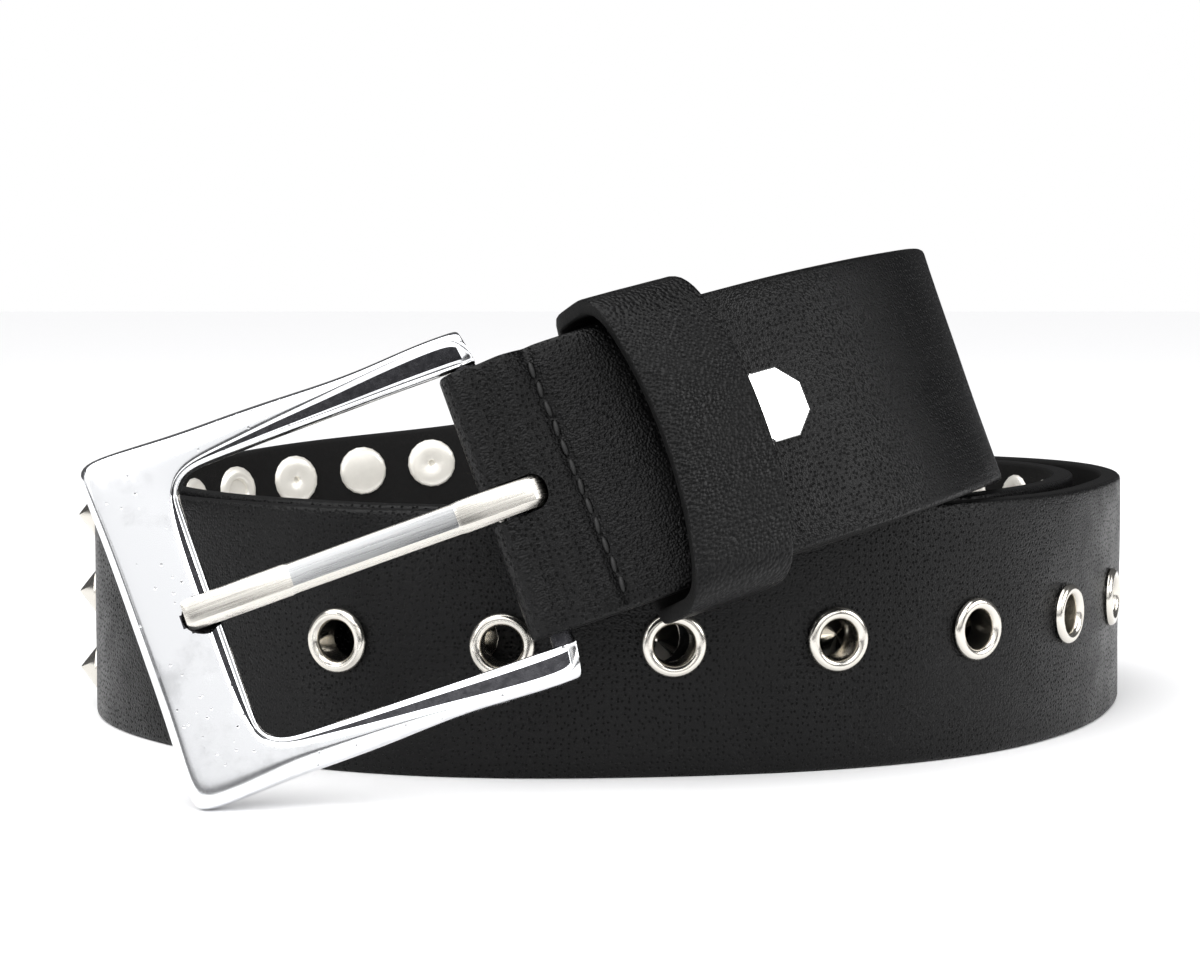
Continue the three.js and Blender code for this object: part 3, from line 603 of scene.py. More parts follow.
def blank_strip(length, width, thickness, tip_round, edge_round):
    """A flat strip from x = 0 to its length, with a rounded tip and rounded long edges."""
    bm = bmesh.new()
    bmesh.ops.create_cube(bm, size=1.0)
    bmesh.ops.scale(bm, vec=(length, width, thickness), verts=bm.verts)
    bmesh.ops.translate(bm, vec=(length / 2, 0.0, 0.0), verts=bm.verts)
    if tip_round:
        corners = [e for e in bm.edges if all(abs(v.co.x - length) < 1e-4 for v in e.verts)
                   and abs(e.verts[0].co.z - e.verts[1].co.z) > 1e-3]
        round_edges(bm, corners, tip_round, 10)
    rims = [e for e in bm.edges if abs(e.verts[0].co.z - e.verts[1].co.z) < 1e-4
            and not all(abs(v.co.x) < 1e-4 for v in e.verts)]
    round_edges(bm, rims, edge_round, 3)
    return bm


def cut_across(bm, places, axis):
    """Cuts the flat mesh at each place along x or y, working only on what lies beyond."""
    normal = (1.0, 0.0, 0.0) if axis == 0 else (0.0, 1.0, 0.0)
    rest = bm.verts[:] + bm.edges[:] + bm.faces[:]
    for place in places:
        spot = (place, 0.0, 0.0) if axis == 0 else (0.0, place, 0.0)
        made = bmesh.ops.bisect_plane(bm, geom=rest, dist=1e-5, plane_co=spot, plane_no=normal)
        rest = []
        for item in made["geom"]:
            verts = [item] if isinstance(item, bmesh.types.BMVert) else item.verts
            if max(v.co[axis] for v in verts) > place - 1e-5:
                rest.append(item)
    return bm


strip = blank_strip(FLAT_LENGTH, STRAP_WIDTH, STRAP_THICKNESS, TIP_ROUND, EDGE_ROUND)
cut_across(strip, [HALF_WIDE * (2 * k / WIDTH_CUTS - 1) for k in range(1, WIDTH_CUTS)], 1)
fine_from, fine_to = FOLD_START - FINE_BACK, OUTER_ZERO + FINE_FRONT
cuts = [STRIP_CUT * k for k in range(1, int(FLAT_LENGTH / STRIP_CUT))]
cuts = [u for u in cuts if not fine_from < u < fine_to]
cuts += [fine_from + FINE_CUT * k for k in range(int((fine_to - fine_from) / FINE_CUT))]
cut_across(strip, sorted(cuts), 0)
print("flat blank has", len(strip.faces), "faces")

# %% Punch the eyelet holes and the prong's slot while flat
EYELET_BORE = 2.9
EYELET_TUBE = 3.3
SLOT_HALF = 2.5
SLOT_BACK, SLOT_FRONT = 1.5, 5.1
SLOT_DEPTH = 9.0
SLOT_CORNER = 2.2


def loose_object(bm):
    """Puts a bmesh into a passing object, so that modifiers can work on it."""
    mesh = bpy.data.meshes.new("loose")
    bm.to_mesh(mesh)
    bm.free()
    item = bpy.data.objects.new("loose", mesh)
    bpy.context.scene.collection.objects.link(item)
    return item


def take_back(item):
    """The object's evaluated shape as a bmesh. The object goes."""
    result = bmesh.new()
    result.from_object(item, bpy.context.evaluated_depsgraph_get())
    discard(item)
    return result


def discard(item):
    """Removes an object and its mesh."""
    mesh = item.data
    bpy.data.objects.remove(item)
    bpy.data.meshes.remove(mesh)


def punch(bm, cutters):
    """Takes the cutters out of the mesh with a Boolean modifier and gives a new bmesh back."""
    target, cutter = loose_object(bm), loose_object(cutters)
    modifier = target.modifiers.new("punch", "BOOLEAN")
    modifier.operation = "DIFFERENCE"
    modifier.solver = "EXACT"
    modifier.object = cutter
    result = take_back(target)
    discard(cutter)
    return result


punches = bmesh.new()
for k in range(EYELET_COUNT):
    spot = Matrix.Translation((OUTER_ZERO + FIRST_EYELET + k * EYELET_PITCH, 0.0, 0.0))
    add_cone(punches, 32, EYELET_TUBE + SEAT_GAP, EYELET_TUBE + SEAT_GAP, 3 * STRAP_THICKNESS, spot)
slot_from, slot_to = FOLD_START - SLOT_BACK, OUTER_ZERO + SLOT_FRONT
made = bmesh.ops.create_cube(punches, size=1.0)
bmesh.ops.scale(punches, verts=made["verts"], vec=(slot_to - slot_from, 2 * SLOT_HALF, SLOT_DEPTH))
slot_corners = {e for v in made["verts"] for e in v.link_edges
                if abs(e.verts[0].co.z - e.verts[1].co.z) > 1}
slot_corners = [e for e in punches.edges if e in slot_corners]
round_edges(punches, slot_corners, SLOT_CORNER, 6)
near_slot = [v for v in punches.verts if abs(v.co.x) < min(slot_to - slot_from, FIRST_EYELET / 2)]
bmesh.ops.translate(punches, vec=((slot_from + slot_to) / 2, 0.0, 0.0), verts=near_slot)
strip = punch(strip, punches)
print("punched strip has", len(strip.faces), "faces")

# %% Dents, ridge, groove and sag, then roll it up
VALLEY_PLACE, VALLEY_DEPTH, VALLEY_WIDE = 1.3, 1.9, 1.5
RIDGE_PLACE, RIDGE_RISE, RIDGE_WIDE = 4.9, 1.1, 1.4
STITCH_TOP, STITCH_BOTTOM = 8.3, 10.4
GROOVE_DEPTH, GROOVE_WIDE = 1.0, 0.9
PUCKER_DEPTH, PUCKER_REACH = 0.35, 6.5


def stitch_place(c):
    """Where the slanting line of stitches lies, as a length from the bar."""
    return mix(STITCH_BOTTOM, STITCH_TOP, (c + HALF_WIDE) / STRAP_WIDTH)


def hill(distance, width):
    """A bell curve."""
    return math.exp(-((distance / width) ** 2))


def face_rise(s, c):
    """How far the grain side stands above the plain strip, in mm."""
    rise = 0.0
    if -1.0 < s < 20.0:
        rise -= VALLEY_DEPTH * hill(s - VALLEY_PLACE, VALLEY_WIDE)
        rise += RIDGE_RISE * hill(s - RIDGE_PLACE, RIDGE_WIDE)
        rise -= GROOVE_DEPTH * hill(s - stitch_place(c), GROOVE_WIDE)
        rise += 0.22 * noise.noise(Vector((s * 0.25, c * 0.16, 3.0))) * smooth((14.0 - s) / 8.0)
    for k in range(EYELET_COUNT):
        away = math.hypot(s - FIRST_EYELET - k * EYELET_PITCH, c)
        if away < 2.5 * PUCKER_REACH:
            rise -= PUCKER_DEPTH * hill(away, PUCKER_REACH)
    rise += 0.16 * noise.noise(Vector((s * 0.035, c * 0.06, 8.0)))
    return rise


def edge_waver(u):
    """The cut edge is not ruler-straight."""
    return 0.16 * noise.noise(Vector((u * 0.04, 0.0, 5.0)))


large = [f for f in strip.faces if len(f.verts) > 4]
bmesh.ops.triangulate(strip, faces=large)
skin = strip.loops.layers.uv.new("skin")
GRAIN, EDGE, FLESH = 0, 1, 2
for face in strip.faces:
    if face.normal.z < -0.6:
        face.material_index = FLESH
    elif face.normal.z < 0.55:
        face.material_index = EDGE
    else:
        face.material_index = GRAIN
    for loop in face.loops:
        x, y, z = loop.vert.co
        loop[skin].uv = (x * MM, (y + (0.0 if face.normal.z > 0.5 else z)) * MM)
for vert in strip.verts:
    u, c, b = vert.co
    s = u - OUTER_ZERO
    wide = 1.0 + edge_waver(u) / HALF_WIDE
    lifted = b + (face_rise(s, c) * smooth(b / HALF_THICK + 0.2) if b > -0.2 and s > -6.0 else 0.0)
    vert.co = on_roll(u, c * wide, lifted)
finish_piece("strap_leather", strip, "strap", ["studded_strap"],
             [strip_leather, edge_leather, flesh_leather])

# %% [markdown]
# The stitches hold the folded lap. Each is a short bead of black thread that dives into the leather
# at both ends. One bead is a squashed sphere, repeated along the groove. Modelling them, rather than
# painting a dashed line, gives the row its small shadows.

# %% Stitches
STITCH_COUNT = 12
STITCH_LENGTH = 2.5
STITCH_THICK = 0.85
STITCH_RISE = 0.15
STITCH_SLANT = 8.0

thread, thread_tree, thread_shader = new_material("thread")
feed(thread_tree, thread_shader, {"Base Color": (0.003, 0.003, 0.003, 1.0), "Roughness": 0.6})
stitches = bmesh.new()
for k in range(STITCH_COUNT):
    c = HALF_WIDE * 0.9 * (1 - 2 * (k + 0.5) / STITCH_COUNT)
    s = stitch_place(c)
    place = on_roll(OUTER_ZERO + s, c, HALF_THICK - GROOVE_DEPTH + STITCH_RISE)
    p, t, w, n = frame_at(s)
    turn = Matrix.Rotation(math.radians(random.uniform(-STITCH_SLANT, STITCH_SLANT)), 4, "Z")
    stretch = Matrix.Diagonal((STITCH_THICK, STITCH_LENGTH, STITCH_THICK * 0.9, 1.0))
    matrix = matrix_of(place / MM - BELT_SHIFT, t, w, n) @ turn @ stretch
    bmesh.ops.create_uvsphere(stitches, u_segments=8, v_segments=6, radius=0.5, matrix=matrix)
finish_piece("stitches", stitches, "strap", [], [thread], 80.0)

# %% [markdown]
# The studs are pointed nickel cones in three rows, each with a domed rivet back on the inner side.
# There are more than a hundred, so each has only a few dozen faces. A stud is rigid: it is not bent
# with the leather but stands square on it, at the frame of the route under its middle.

# %% Studs and their backs
STUD_SIDES = 16
STUD_RIM = 0.35
STUD_SINK = 0.1
STUD_POINT = 0.18
BACK_RADIUS = 4.2
BACK_SIDES = 18
PLAIN, DIMPLE, OPEN_RING = 0, 1, 2
BACK_KINDS = (OPEN_RING, DIMPLE, PLAIN, DIMPLE)
BACK_HOLES = (0.0, 0.55, 2.1)
stud_columns = int((LAST_STUD - FIRST_STUD) // STUD_PITCH) + 1
studs = bmesh.new()
backs = bmesh.new()


def add_stud(bm, matrix):
    """One cone with a short upright rim at its foot."""
    foot = Matrix.Translation((0.0, 0.0, HALF_THICK + STUD_RIM / 2 - STUD_SINK))
    add_cone(bm, STUD_SIDES, STUD_RADIUS, STUD_RADIUS - 0.12, STUD_RIM + 2 * STUD_SINK, matrix @ foot)
    height = STUD_HEIGHT - STUD_RIM
    cone = Matrix.Translation((0.0, 0.0, HALF_THICK + STUD_RIM + height / 2 - 0.02))
    add_cone(bm, STUD_SIDES, STUD_RADIUS - 0.15, STUD_POINT, height, matrix @ cone)


def spin_profile(bm, profile, steps, closed):
    """Spins (radius, height) points full circle round z. Gives the first copy's vertices."""
    verts = [bm.verts.new((r, 0.0, z)) for r, z in profile]
    follow = verts[1:] + verts[:1] if closed else verts[1:]
    edges = [bm.edges.new(pair) for pair in zip(verts, follow)]
    bmesh.ops.spin(bm, geom=verts + edges, cent=(0.0, 0.0, 0.0), axis=(0.0, 0.0, 1.0),
                   dvec=(0.0, 0.0, 0.0), angle=2 * math.pi, steps=steps, use_merge=True)
    return verts


def add_back(bm, matrix, kind):
    """A domed rivet back, plain, with a small dimple or with an open ring in it."""
    hole = BACK_HOLES[kind]
    base = -HALF_THICK - 0.02
    top = base - STUD_BACK_HEIGHT
    profile = [(0.0, top + 0.04)]
    if kind != PLAIN:
        profile = [(0.0, base - 0.1), (hole - 0.1, base - 0.1), (hole, top + 0.2), (hole + 0.25, top)]
    profile += [(BACK_RADIUS - 1.0, top + 0.05), (BACK_RADIUS - 0.3, top + 0.25),
                (BACK_RADIUS, base - 0.15), (BACK_RADIUS, base)]
    made = set(spin_profile(bm, profile, BACK_SIDES, False))
    grown = True
    while grown:
        more = {e.other_vert(v) for v in made for e in v.link_edges} - made
        made |= more
        grown = bool(more)
    bmesh.ops.transform(bm, matrix=matrix, verts=list(made))


for column in range(stud_columns):
    for row in (-1, 0, 1):
        matrix = seat(LAST_STUD - column * STUD_PITCH, row * STUD_ROW_GAP)
        add_stud(studs, matrix)
        add_back(backs, matrix, BACK_KINDS[(column + row) % len(BACK_KINDS)])
bmesh.ops.remove_doubles(backs, verts=backs.verts, dist=1e-6)
bmesh.ops.recalc_face_normals(backs, faces=backs.faces)
finish_piece("studs", studs, "strap", ["studded_strap"], [nickel], 30.0)
finish_piece("stud_backs", backs, "strap", [], [back_nickel_painted_bright], 50.0)
print(stud_columns, "columns of studs")

# %% [markdown]
# An eyelet is a short tube whose front is rolled into a ring and whose back is flared out to grip
# the leather. Its section never changes, so spinning one small profile round its axis makes it. The
# spin closes on itself, and its doubles are merged before the normals are worked out.

# %% Eyelets
EYELET_PROFILE = [
    (EYELET_BORE, -2.35), (EYELET_BORE, 1.7), (3.0, 2.25), (3.35, 2.62), (3.85, 2.75), (4.3, 2.6),
    (4.62, 2.25), (4.7, 1.9), (4.55, 1.62), (EYELET_TUBE, 1.62), (EYELET_TUBE, -1.8),
    (4.25, -1.8), (4.4, -2.0), (4.1, -2.35), (3.4, -2.5),
]
EYELET_STEPS = 40


def spun_ring(profile, steps, matrix):
    """A closed profile of (radius, height) spun full circle and put in place."""
    bm = bmesh.new()
    spin_profile(bm, profile, steps, True)
    bmesh.ops.remove_doubles(bm, verts=bm.verts, dist=1e-5)
    bmesh.ops.recalc_face_normals(bm, faces=bm.faces)
    bmesh.ops.transform(bm, matrix=matrix, verts=bm.verts)
    return bm


for k in range(EYELET_COUNT):
    place = seat(FIRST_EYELET + k * EYELET_PITCH)
    ring = spun_ring(EYELET_PROFILE, EYELET_STEPS, place)
    number = k + 1
    finish_piece(f"eyelet_ring_{number}", ring, "strap", [f"eyelet_{number}"], [nickel],
                 35.0)

# %% [markdown]
# The lap rivet shows as a flat eight-sided cap. A circle with eight segments, extruded and beveled,
# is that shape at once. Its round back and shank are a spun profile.

# %% Lap rivet
RIVET_PLACE = 38.5
RIVET_ABOVE_MIDDLE = 1.0
RIVET_FLATS = 10.3
RIVET_HEIGHT = 1.0
RIVET_SHANK = 1.5
RIVET_BACK_RADIUS = 4.0
RIVET_ROUND = 0.28
rivet_seat = seat(RIVET_PLACE, RIVET_ABOVE_MIDDLE)
cap_from = HALF_THICK + 0.1
back_from = LAP_OFFSET - LAP_THICKNESS / 2 - SEAT_GAP
rivet = spun_ring(
    [(0.01, cap_from + 0.5), (RIVET_SHANK, cap_from + 0.5), (RIVET_SHANK, back_from),
     (RIVET_BACK_RADIUS, back_from), (RIVET_BACK_RADIUS - 0.3, back_from - 0.6),
     (0.01, back_from - 0.8)],
    24, rivet_seat)
cap_turn = Matrix.Rotation(math.pi / 8, 4, "Z")
cap_place = Matrix.Translation((0.0, 0.0, cap_from + RIVET_HEIGHT / 2 + 0.05))
corner_radius = RIVET_FLATS / 2 / math.cos(math.pi / 8)
cap_verts = add_cone(rivet, 8, corner_radius, corner_radius, RIVET_HEIGHT + 0.1,
                     rivet_seat @ cap_place @ cap_turn)
outward = frame_at(RIVET_PLACE)[3]
cap_top = max(v.co.dot(outward) for v in cap_verts)
rim = {e for v in cap_verts for e in v.link_edges
       if all(cap_top - x.co.dot(outward) < 0.2 * MM for x in e.verts)}
round_edges(rivet, [e for e in rivet.edges if e in rim], RIVET_ROUND * MM, 2)
finish_piece("rivet_cap", rivet, "strap", ["lap_rivet"], [cap_nickel], 15.0)

# %% [markdown]
# The keeper is a band of thicker-grained leather wrapped round the doubled strip. It too is modelled
# as a flat blank and then wrapped: each vertex goes to a closed path round the strip. In front the
# path stands off the strip, is pushed along it and bows in the middle, as a used keeper does.

# %% Keeper
KEEPER_PLACE = 21.7
KEEPER_WIDTH = 14.0
KEEPER_PLAY = 1.4
KEEPER_BULGE = 4.6
KEEPER_BOW = 2.6
KEEPER_PUSH = 3.0
KEEPER_SINK = 0.35
KEEPER_CROWN = 2.0
KEEPER_BACK_ROUND = 2.2
KEEPER_FRONT_ROUND = 4.0
KEEPER_NUDGE = 0.9
KEEPER_EDGE_ROUND = 0.45
KEEPER_CUTS_ACROSS, KEEPER_CUTS_ROUND = 8, 110


def curve_points(start, control, end, steps=10):
    """Points on a quadratic curve, without its start."""
    points = []
    for i in range(1, steps + 1):
        u = i / steps
        points.append(tuple((1 - u) ** 2 * a + 2 * u * (1 - u) * b + u * u * c
                            for a, b, c in zip(start, control, end)))
    return points


def keeper_path():
    """Closed path of the keeper's middle wall as (across, out) points, from its back's middle."""
    half = HALF_WIDE + KEEPER_PLAY + KEEPER_THICKNESS / 2
    back = LAP_OFFSET - LAP_THICKNESS / 2 - 2 * SEAT_GAP - KEEPER_THICKNESS / 2
    front = HALF_THICK + KEEPER_THICKNESS / 2 + KEEPER_BULGE
    shoulder = front - KEEPER_CROWN
    edge, deep = half - KEEPER_BACK_ROUND, back + KEEPER_BACK_ROUND
    face, low = half - KEEPER_FRONT_ROUND, shoulder - KEEPER_FRONT_ROUND
    high = shoulder + KEEPER_CROWN / 2
    path = [(0.0, back), (edge / 2, back), (edge, back)]
    path += curve_points((edge, back), (half, back), (half, deep))
    path += [(half, low)]
    path += curve_points((half, low), (half, shoulder), (face, high))
    path += curve_points((face, high), (half / 2, front), (0.0, front))
    path += [(-across, out) for across, out in reversed(path[:-1])]
    return path, back, front, half


KEEPER_PATH, KEEPER_BACK, KEEPER_FRONT, KEEPER_HALF = keeper_path()
KEEPER_PLACES = [0.0]
for (x0, y0), (x1, y1) in zip(KEEPER_PATH, KEEPER_PATH[1:]):
    KEEPER_PLACES.append(KEEPER_PLACES[-1] + math.hypot(x1 - x0, y1 - y0))
KEEPER_ROUND = KEEPER_PLACES[-1]


def on_keeper(u, a, b):
    """Carries a flat point to the wrapped keeper, in metres."""
    ends = []
    for shifted in (u - KEEPER_NUDGE, u, u + KEEPER_NUDGE):
        place = shifted % KEEPER_ROUND
        i = min(max(bisect.bisect(KEEPER_PLACES, place), 1), len(KEEPER_PLACES) - 1)
        share = (place - KEEPER_PLACES[i - 1]) / (KEEPER_PLACES[i] - KEEPER_PLACES[i - 1])
        (x0, y0), (x1, y1) = KEEPER_PATH[i - 1], KEEPER_PATH[i]
        ends.append((mix(x0, x1, share), mix(y0, y1, share)))
    (ax, ay), (c, out), (bx, by) = ends
    size = math.hypot(bx - ax, by - ay)
    along_x, along_y = (bx - ax) / size, (by - ay) / size
    forward = smooth((out - KEEPER_BACK) / (KEEPER_FRONT - KEEPER_BACK))
    shift = KEEPER_PUSH * forward + KEEPER_BOW * forward * (1 - (c / KEEPER_HALF) ** 2)
    sink = smooth(a / KEEPER_WIDTH + 0.5) * forward * KEEPER_BULGE * KEEPER_SINK
    p, t, w, n = frame_at(KEEPER_PLACE + a + shift)
    across = c + along_y * b
    away = out - along_x * b - sink
    return (p + w * across + n * away + BELT_SHIFT) * MM


keeper = blank_strip(KEEPER_ROUND, KEEPER_WIDTH, KEEPER_THICKNESS, 0.0, KEEPER_EDGE_ROUND)
cuts = [KEEPER_WIDTH * (k / KEEPER_CUTS_ACROSS - 0.5) for k in range(1, KEEPER_CUTS_ACROSS)]
cut_across(keeper, cuts, 1)
cuts = [KEEPER_ROUND * k / KEEPER_CUTS_ROUND for k in range(1, KEEPER_CUTS_ROUND)]
cut_across(keeper, cuts, 0)
ends = [f for f in keeper.faces if all(abs(v.co.x) < 1e-3 for v in f.verts)
        or all(abs(v.co.x - KEEPER_ROUND) < 1e-3 for v in f.verts)]
bmesh.ops.delete(keeper, geom=ends, context="FACES")
skin = keeper.loops.layers.uv.new("skin")
for face in keeper.faces:
    face.material_index = 0 if face.normal.z > 0.5 else (2 if face.normal.z < -0.6 else 1)
    for loop in face.loops:
        x, y, z = loop.vert.co
        loop[skin].uv = (x * MM, (y + z) * MM)
for vert in keeper.verts:
    u, a, b = vert.co
    swell = 0.12 * noise.noise(Vector((u * 0.12, a * 0.2, 11.0)))
    vert.co = on_keeper(u, a, b + (swell if b > 0 else 0.0))
bmesh.ops.remove_doubles(keeper, verts=keeper.verts, dist=0.02 * MM)
finish_piece("keeper_band", keeper, "strap", ["keeper"],
             [keeper_leather, edge_leather, flesh_leather])

# %% [markdown]
# The buckle frame is a casting. Its section changes all the way round: a broad, gently crowned front
# bar, and arms with a polished outer face and an inner facet, painted darker as shade, that widens
# towards the back bar.
# Half of it is lofted by extruding one section from station to station, then mirrored. A Subdivision
# Surface rounds it as casting and polishing do.

# %% Buckle's own plane
SWING = math.radians(4.0)
BUCKLE_SAG = 0.6
INNER_HALF = HALF_WIDE + 0.9
BAR_OVERHANG = 0.5
FRAME_LENGTH = 53.5
FRONT_BAR = 11.4
FRAME_FRONT = 2.9
FRAME_BACK = -1.5
EAR_REACH = 1.6
EAR_SLANT = 0.9
swing_turn = Matrix.Rotation(SWING, 3, FOLD_W)
BUCKLE_T = swing_turn @ FOLD_T
BUCKLE_N = swing_turn @ FOLD_N
BUCKLE_MATRIX = matrix_of(BAR_POINT - FOLD_W * BUCKLE_SAG, BUCKLE_T, FOLD_W, BUCKLE_N)
PRONG_MATRIX = matrix_of(BAR_POINT, BUCKLE_T, FOLD_W, BUCKLE_N)
print("bar at", [round(x, 2) for x in (BAR_POINT + BELT_SHIFT)])

# %% Stations of the frame
# Each row: outer edge (along, across), inner edge (along, across), inner facet's width and drop
WINDOW_END = FRONT_BAR - FRAME_LENGTH
FRAME_ROWS = [
    (EAR_REACH - EAR_SLANT, 24.9, EAR_REACH, INNER_HALF, 1.0, 0.3),
    (EAR_REACH - EAR_SLANT - 0.35, 25.1, EAR_REACH - 0.35, INNER_HALF, 1.4, 0.45),
    (EAR_REACH - EAR_SLANT - 1.2, 25.1, EAR_REACH - 1.2, INNER_HALF, 3.4, 1.35),
    (-1.8, 25.1, -1.4, INNER_HALF, 3.9, 1.6),
    (-6.4, 25.0, -6.4, INNER_HALF, 3.7, 1.6),
    (-12.8, 24.4, -12.8, INNER_HALF - 0.1, 3.1, 1.4),
    (-18.7, 24.3, -18.7, INNER_HALF - 0.25, 2.5, 1.2),
    (-26.7, 24.6, -26.7, INNER_HALF - 0.4, 1.9, 0.95),
    (-33.5, 24.6, -34.0, INNER_HALF - 0.6, 1.2, 0.7),
    (-39.0, 24.5, -38.4, INNER_HALF - 0.75, 0.8, 0.55),
    (-45.0, 24.7, -40.3, INNER_HALF - 1.35, 0.7, 0.5),
    (-51.0, 24.9, -41.5, INNER_HALF - 2.5, 0.8, 0.55),
    (-53.6, 24.2, -42.0, INNER_HALF - 3.7, 0.9, 0.6),
    (-54.0, 21.4, WINDOW_END, INNER_HALF - 4.9, 1.1, 0.7),
    (-53.7, 15.0, WINDOW_END, 12.6, 1.5, 0.85),
    (-53.6, 8.0, WINDOW_END, 7.4, 1.7, 0.95),
    (-53.6, 3.8, WINDOW_END, 3.8, 1.7, 0.95),
    (-53.6, 0.0, WINDOW_END, 0.0, 1.7, 0.95),
]
CROWN = 0.1
LIP = 0.55
FACET_SIDE = {8, 9}


def frame_section(row):
    """Ring of points round the casting at one station. Points 8 and 9 bound the inner facet."""
    ao, co, ai, ci, facet, drop = row
    outer, inner = Vector((ao, co)), Vector((ai, ci))
    wide = (outer - inner).length
    towards = (outer - inner) / wide
    shoulder = min(facet + 0.35, wide - 1.2)
    curve = min(1.0, (wide - shoulder) / 2.5)
    low = FRAME_FRONT - drop
    edge = wide - 1.7 * curve
    profile = [
        (wide - 0.5, FRAME_BACK), (wide, FRAME_BACK + 0.6), (wide, 0.7),
        (wide - 0.25 * curve, FRAME_FRONT - 1.1), (wide - 0.8 * curve, FRAME_FRONT - 0.35),
        (edge, FRAME_FRONT - 0.05), ((edge + shoulder) / 2, FRAME_FRONT + CROWN),
        (shoulder, FRAME_FRONT), (facet, FRAME_FRONT - 0.15), (LIP + 0.15, low - 0.05), (LIP, low),
        (0.25, low + 0.12), (0.0, low - 0.3), (0.0, FRAME_BACK + 0.5), (0.4, FRAME_BACK),
    ]
    return [Vector((*(inner + towards * e), b)) for e, b in profile]


def loft(bm, rings):
    """Extrudes the first ring's face from ring to ring. Returns the last face and each
    vertex's place in its ring."""
    verts = [bm.verts.new(point) for point in rings[0]]
    places = {vert: i for i, vert in enumerate(verts)}
    first = face = bm.faces.new(verts)
    for ring in rings[1:]:
        spots = {tuple(round(x, 5) for x in v.co): i for i, v in enumerate(verts)}
        made = bmesh.ops.extrude_face_region(bm, geom=[face])
        if face is not first:
            # an extruded cap stays behind as an inner wall, so it goes
            bmesh.ops.delete(bm, geom=[face], context="FACES_ONLY")
        fresh = [g for g in made["geom"] if isinstance(g, bmesh.types.BMVert)]
        verts = sorted(fresh, key=lambda v: spots[tuple(round(x, 5) for x in v.co)])
        for i, (vert, point) in enumerate(zip(verts, ring)):
            vert.co = point
            places[vert] = i
        face = next(g for g in made["geom"] if isinstance(g, bmesh.types.BMFace))
    return face, places


def rounded(bm, levels):
    """The mesh after a Subdivision Surface, as a new bmesh."""
    cage = loose_object(bm)
    modifier = cage.modifiers.new("round", "SUBSURF")
    modifier.levels = modifier.render_levels = levels
    return take_back(cage)


# %% Cast the frame, cut its notch, add its bar
NOTCH_RADIUS = 3.1
NOTCH_REACH = 5.2
NOTCH_SHIFT, NOTCH_ACROSS, NOTCH_RISE = 1.5, 0.1, 1.3
POLISHED, PAINTED_SHADE_SKIN = 0, 1

casting = bmesh.new()
last, ring_places = loft(casting, [frame_section(row) for row in FRAME_ROWS])
for face in casting.faces:
    # the inner facet gets the rough skin, painted dark as shade
    on_facet = {ring_places[vert] for vert in face.verts} == FACET_SIDE
    before_ear = face.calc_center_median().x < EAR_REACH - 1.3
    face.material_index = PAINTED_SHADE_SKIN if on_facet and before_ear else POLISHED
ear_end = [f for f in casting.faces if f is not last and len(f.verts) > 4]
bmesh.ops.inset_individual(casting, faces=ear_end, thickness=0.3)
bmesh.ops.delete(casting, geom=[last], context="FACES_ONLY")
bmesh.ops.recalc_face_normals(casting, faces=casting.faces)
bmesh.ops.mirror(casting, geom=casting.verts[:] + casting.edges[:] + casting.faces[:],
                 axis="Y", merge_dist=0.002)
bmesh.ops.remove_doubles(casting, verts=casting.verts, dist=0.002)
bmesh.ops.recalc_face_normals(casting, faces=casting.faces)
casting = rounded(casting, 2)
scoop = bmesh.new()
scoop_middle = (WINDOW_END - NOTCH_REACH / 2 + NOTCH_SHIFT, NOTCH_ACROSS, FRAME_FRONT + NOTCH_RISE)
scoop_size = (NOTCH_REACH + 2 * NOTCH_SHIFT, 2 * NOTCH_RADIUS, 2 * NOTCH_RADIUS, 1.0)
scoop_matrix = Matrix.Translation(scoop_middle) @ Matrix.Diagonal(scoop_size)
bmesh.ops.create_uvsphere(scoop, u_segments=28, v_segments=18, radius=0.5, matrix=scoop_matrix)
casting = punch(casting, scoop)
into_scoop = scoop_matrix.inverted()
for face in casting.faces:
    # inside the notch the casting is rough too, and painted dark as shade in the recess
    if (into_scoop @ face.calc_center_median()).length < 0.51:
        face.material_index = PAINTED_SHADE_SKIN
bmesh.ops.triangulate(casting, faces=[f for f in casting.faces if len(f.verts) > 4])
bar_turn = Matrix.Rotation(math.pi / 2, 4, "X")
bar_length = 2 * (INNER_HALF + BAR_OVERHANG)
bar_verts = add_cone(casting, 24, BAR_RADIUS, BAR_RADIUS, bar_length, bar_turn)
# the bar gets the rough skin too, painted dark as shade under the fold
for face in {face for vert in bar_verts for face in vert.link_faces}:
    face.material_index = PAINTED_SHADE_SKIN
bmesh.ops.transform(casting, matrix=BUCKLE_MATRIX, verts=casting.verts)
finish_piece("frame_casting", casting, "buckle", ["buckle_frame"], [chrome, rough_skin_painted_shade])

# %% [markdown]
# The prong is a flat steel tongue. It curls round the bar, runs straight with two soft kinks and
# ends in the notch. It is lofted like the frame: one beveled rectangle, extruded along its line.
# A UV map that runs along it carries the brush marks.

# %% Prong
PRONG_WIDTH = 4.3
PRONG_THICK = 1.9
CURL = BAR_RADIUS + 0.15 + PRONG_THICK / 2
CURL_FROM, CURL_TO, CURL_STEPS = 205.0, 338.0, 9
# Where the tongue turns up out of its slot: along, height of the middle
ROOT_ROWS = [(3.2, 0.1), (3.6, 1.2), (3.68, 2.3), (3.4, 3.2), (2.6, 3.8), (1.3, 4.0)]
